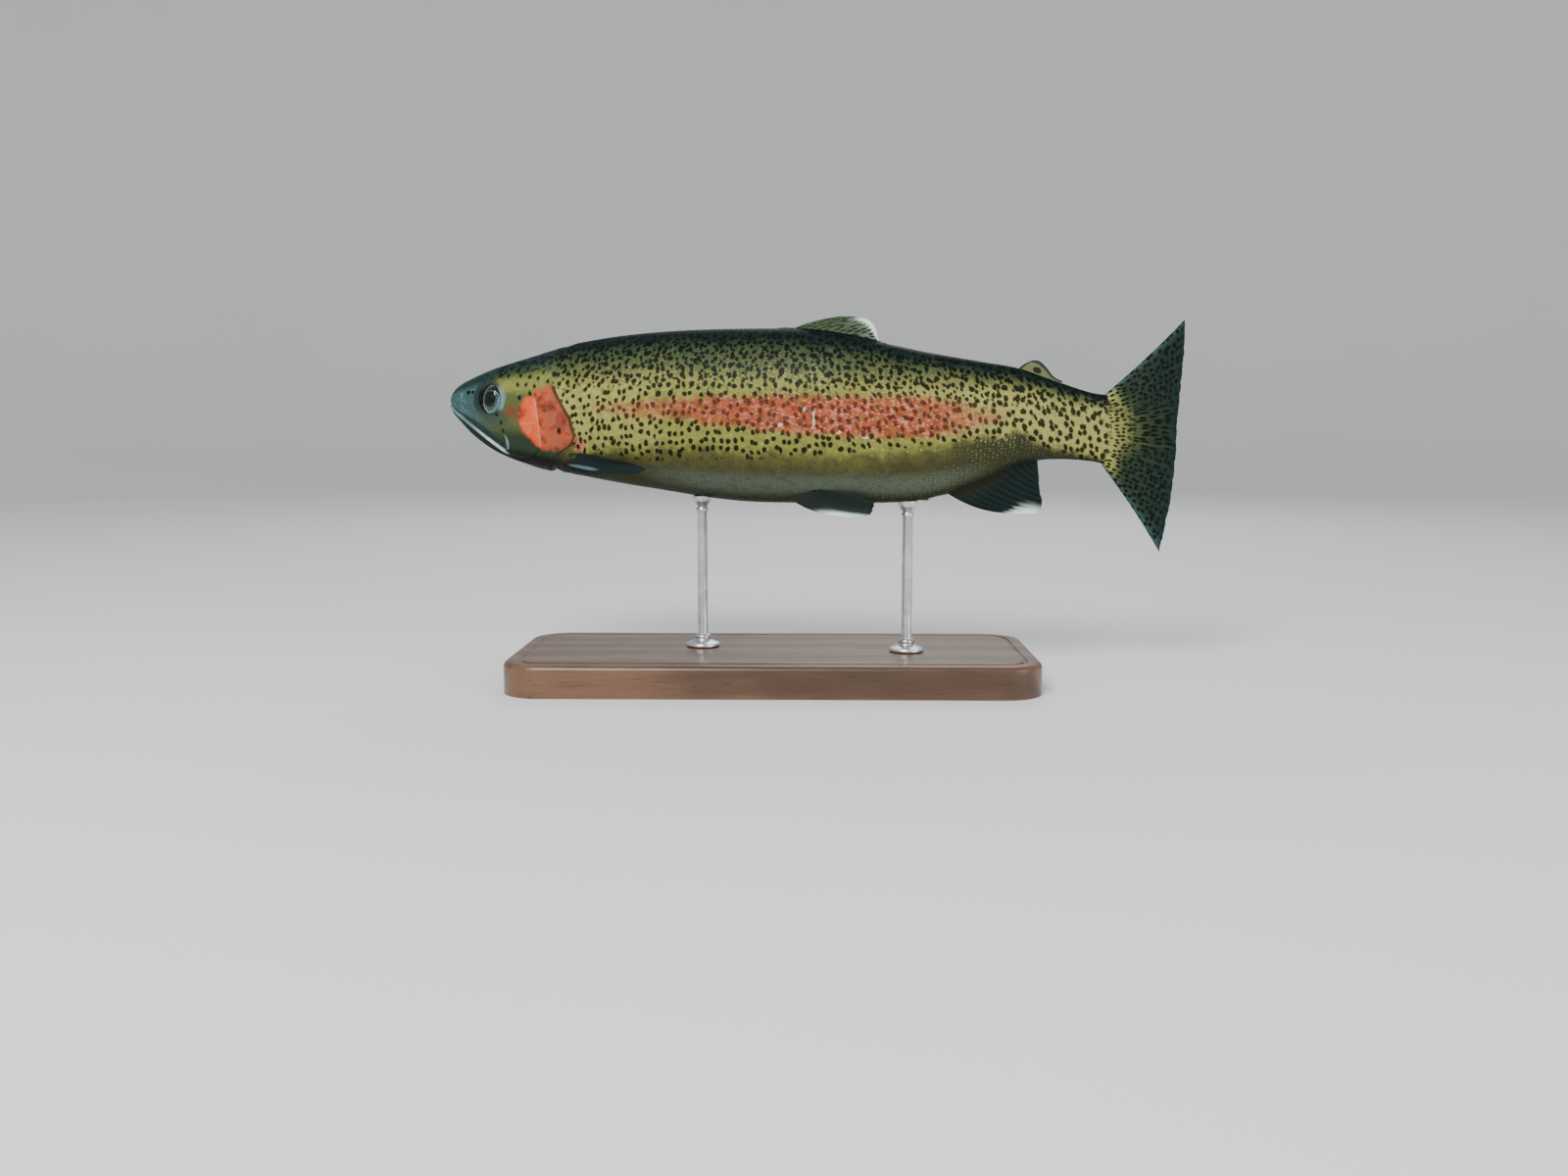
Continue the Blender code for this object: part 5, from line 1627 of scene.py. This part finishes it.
def anal_marks(f, colour, wide, far):
    """A white front corner."""
    return f.mix(colour, MILK, wide.rise(0.40, 0.18) * far.rise(0.70, 0.88))


def pelvic_marks(f, colour, wide, far):
    """A white front corner, longer than the anal fin's."""
    return f.mix(colour, MILK, wide.rise(0.36, 0.14) * far.rise(0.50, 0.78))


def pectoral_marks(f, colour, wide, far):
    """A painted highlight: a pale streak along the root of the first rays."""
    _, across, along, _ = f.attribute("fan")
    streak = ((across - 0.12) / 0.11) ** 2.0 + ((along - 0.20) / 0.20) ** 2.0
    return f.mix(colour, PECTORAL_HIGHLIGHT, streak.rise(1.6, 0.4) * 0.6)


FIN_MARKS = {
    "dorsal_fin": dorsal_marks, "adipose_fin": adipose_marks, "anal_fin": anal_marks, "tail_fin": tail_marks,
    "pectoral_fin": pectoral_marks, "pelvic_fin": pelvic_marks,
}


def fin_finish(name, kind):
    """Dark skin between paler rays; each kind of fin has its own colours and markings."""
    f = FishFinish(name)
    _, across, along, length = f.attribute("fan")
    rays = FINS[kind]["rays"]
    ray = (across * (rays * 2 * math.pi)).swing() * 0.5 + 0.5 if rays else f.cloud + 0.5
    wide, far = across + f.cloud * 0.10, along + f.cloud * 0.14 + (ray - 0.5) * 0.06
    colour = FIN_MARKS[kind](f, fin_ground(f, kind, ray), wide, far)
    joints = (length * RAY_JOINTS).wave() * 0.5 + 0.5
    normal = f.bump(joints * ray * 0.4 + f.patches(700, 2) * 0.6, FIN_GRAIN)
    f.set({"Base Color": colour, "Roughness": 0.52 + f.cloud * 0.2, "Coat Weight": 0.02, "Normal": normal})
    return f.material


def eyeball_finish():
    """A black pupil in a thin gold ring, and a dark blue-grey iris that is pale low down at the rear."""
    f = Finish("trout_eye", **{"Specular IOR Level": 0.08})
    _, x, y, _ = f.attribute("eye")
    radius = (x * x + y * y) ** 0.5
    teardrop = radius + x * 0.10
    streaks = f.noise(f.join(x / (radius + 0.05), y / (radius + 0.05)), 7.0, 3)
    iris = f.mix(blend(INK, SLATE, 0.6), blend(SLATE, ICE, 0.12), streaks.rise(0.45, 0.70))
    iris = f.mix(iris, blend(INK, SLATE, 0.2), y.rise(0.15, 0.60) * 0.85)
    low_rear = (x * 0.8 - y * 0.7).rise(0.30, 0.70) * radius.rise(0.60, 0.80)
    iris = f.mix(iris, blend(SLATE, ICE, 0.6), low_rear * 0.85)
    iris = f.mix(iris, blend(BRONZE, CREAM, 0.5), (radius - 0.535).size().rise(0.028, 0.010) * 0.7)
    iris = f.mix(iris, INK, radius.rise(0.90, 0.97))
    colour = f.mix(INK, iris, teardrop.rise(0.500, 0.522))
    normal = f.bump(streaks, 0.0002, 0.4)
    f.set({"Base Color": colour, "Roughness": 0.30 + radius.rise(0.48, 0.56) * 0.2, "Normal": normal})
    return f.material


def cornea_finish():
    """A clear wet dome: see-through face on, and glossy towards its rim."""
    f = Finish("clear_cornea", roughness=0.02)
    f.tree.nodes.remove(f.shader)
    clear = f.node("ShaderNodeBsdfTransparent", {}, {"Color": (0.93, 0.96, 0.97)})
    gloss = f.node("ShaderNodeBsdfGlossy", {}, {"Roughness": 0.02})
    facing = f.node("ShaderNodeFresnel", {}, {"IOR": 1.24})
    both = f.node("ShaderNodeMixShader", {}, {0: facing, 1: clear, 2: gloss})
    f.tree.links.new(both, f.tree.nodes["Material Output"].inputs["Surface"])
    return f.material


WALNUT = ((0.0, (0.040, 0.018, 0.009)), (0.45, (0.085, 0.040, 0.020)), (1.0, (0.175, 0.088, 0.045)))
WALNUT_PORE = (0.016, 0.008, 0.005)


def wood_finish():
    """Dark oiled walnut with its grain along the base."""
    f = Finish("dark_walnut", **{"Specular IOR Level": 0.45, "Coat Roughness": 0.18})
    place = f.object_place()
    drawn = f.vector("MULTIPLY", place, (1.6, 20.0, 20.0))
    sway = f.noise(place, 9, 2)
    _, y, z = f.apart(place)
    rings = (y * 210 + z * 90 + sway * 9.0 + f.noise(drawn, 3.0, 3) * 7.0).wave() * 0.5 + 0.5
    fibre = f.noise(f.vector("MULTIPLY", place, (30.0, 900.0, 900.0)), 1.0, 3)
    pores = f.noise(f.vector("MULTIPLY", place, (60.0, 1500.0, 1500.0)), 1.0, 1).rise(0.62, 0.72)
    colour = f.mix(f.ramp(rings * 0.6 + fibre * 0.4, WALNUT), WALNUT_PORE, pores * 0.7)
    rough = 0.34 + fibre * 0.14 + pores * 0.1
    normal = f.bump(fibre * 0.6 - pores * 0.6, 0.00012, 0.6)
    f.set({"Base Color": colour, "Roughness": rough, "Coat Weight": 0.25, "Normal": normal})
    return f.material


def rod_finish():
    """Brushed steel, with fine turning marks and a few duller patches."""
    f = Finish("brushed_steel", metallic=1.0)
    place = f.object_place()
    x, y, z = f.apart(place)
    turning = f.noise(f.join(x * 20, y * 20, z * 5200), 1.0, 2)
    haze = f.noise(place, 140, 2)
    colour = f.mix((0.50, 0.50, 0.52), (0.66, 0.66, 0.67), haze.rise(0.35, 0.65))
    rough = 0.22 + turning * 0.16 + haze * 0.08
    f.set({"Base Color": colour, "Roughness": rough, "Normal": f.bump(turning, 0.00004, 0.7)})
    return f.material


def stage_finish():
    f = Finish("pale_floor", roughness=0.75)
    tone = f.noise(f.object_place(), 3, 2)
    f.set({"Base Color": f.mix((0.78, 0.79, 0.78), (0.82, 0.82, 0.81), tone)})
    return f.material


# The stage, the lights and the camera.

# Level with the body's axis and square to the stand, turned a little down and to the left.
CAMERA_PLACE = (0.0201, -0.7721, AXIS_HEIGHT)
CAMERA_PITCH, CAMERA_TURN = math.radians(7.11), math.radians(1.05)
FOCAL_LENGTH, FILM = 30.66, 36.0
# The floor, as (radius, height).
FLOOR = (
    (0.001, 0.0), (0.5, 0.0), (1.5, 0.0), (2.4, 0.0), (2.9, 0.06), (3.3, 0.26), (3.6, 0.65), (3.75, 1.2),
    (3.8, 2.4),
)
FLOOR_SIDES = 96
FLOOR_DROP = 0.0002  # under the stand


def make_stage():
    """A round pale floor that curves up far outside, so that no view meets an edge."""
    points, faces = revolved([(radius, height - FLOOR_DROP) for radius, height in FLOOR], FLOOR_SIDES)
    faces.append(tuple(range(FLOOR_SIDES)))
    floor = new_mesh_object("floor", points, [face[::-1] for face in faces])
    floor.data.materials.append(stage_finish())


def make_light(name, place, target, size, power, colour=(1, 1, 1)):
    light = bpy.data.lights.new(name, "AREA")
    light.shape, light.size, light.energy, light.color = "DISK", size, power, colour
    made = link_object(name, light)
    made.location = place
    made.rotation_euler = (Vector(target) - Vector(place)).to_track_quat("-Z", "Y").to_euler()


def make_studio():
    make_stage()
    middle = (0, 0, 0.14)
    make_light("key_light", (-0.55, -1.35, 1.25), middle, 0.8, 40, (1.0, 0.98, 0.95))
    make_light("fill_light", (1.35, -0.95, 0.55), middle, 1.0, 10, (0.95, 0.98, 1.0))
    make_light("rim_light", (0.2, 1.35, 1.15), middle, 0.9, 7)
    world = bpy.data.worlds.new("studio")
    world.use_nodes = True
    world.node_tree.nodes["Background"].inputs["Color"].default_value = (0.92, 0.95, 0.97, 1)
    world.node_tree.nodes["Background"].inputs["Strength"].default_value = 0.55
    bpy.context.scene.world = world


def make_camera():
    camera = bpy.data.cameras.new("camera")
    camera.lens, camera.sensor_width, camera.sensor_fit = FOCAL_LENGTH, FILM, "HORIZONTAL"
    made = link_object("camera", camera)
    made.location = CAMERA_PLACE
    made.rotation_euler = (math.pi / 2 - CAMERA_PITCH, 0, CAMERA_TURN)
    bpy.context.scene.camera = made


# Putting it together.

hide = Hide()
skin = make_skin(hide)
skin_finish = trout_finish("trout_skin", coat=False)
show_as(
    skin, skin_finish, "skin", "head", "lower_jaw", "maxilla_left", "maxilla_right", "gill_cover_left",
    "gill_cover_right", "trunk", "tail",
)
make_scales(hide, trout_finish("trout_scales", coat=True))
for kind, form in FINS.items():
    finish = fin_finish(f"{kind}_skin", kind)
    if kind in ("pectoral_fin", "pelvic_fin"):
        for hand_name, hand in (("left", 1), ("right", -1)):
            show_as(make_fin(f"{kind}_{hand_name}", form, hand), finish, "fin", f"{kind}_{hand_name}")
    else:
        show_as(make_fin(kind, form), finish, "fin", kind)
make_eyes(eyeball_finish(), cornea_finish())
make_base(wood_finish())
steel = rod_finish()
for name in ("front", "rear"):
    make_rod(f"rod_{name}", f"stand_rod_{name}", steel)
make_studio()
make_camera()
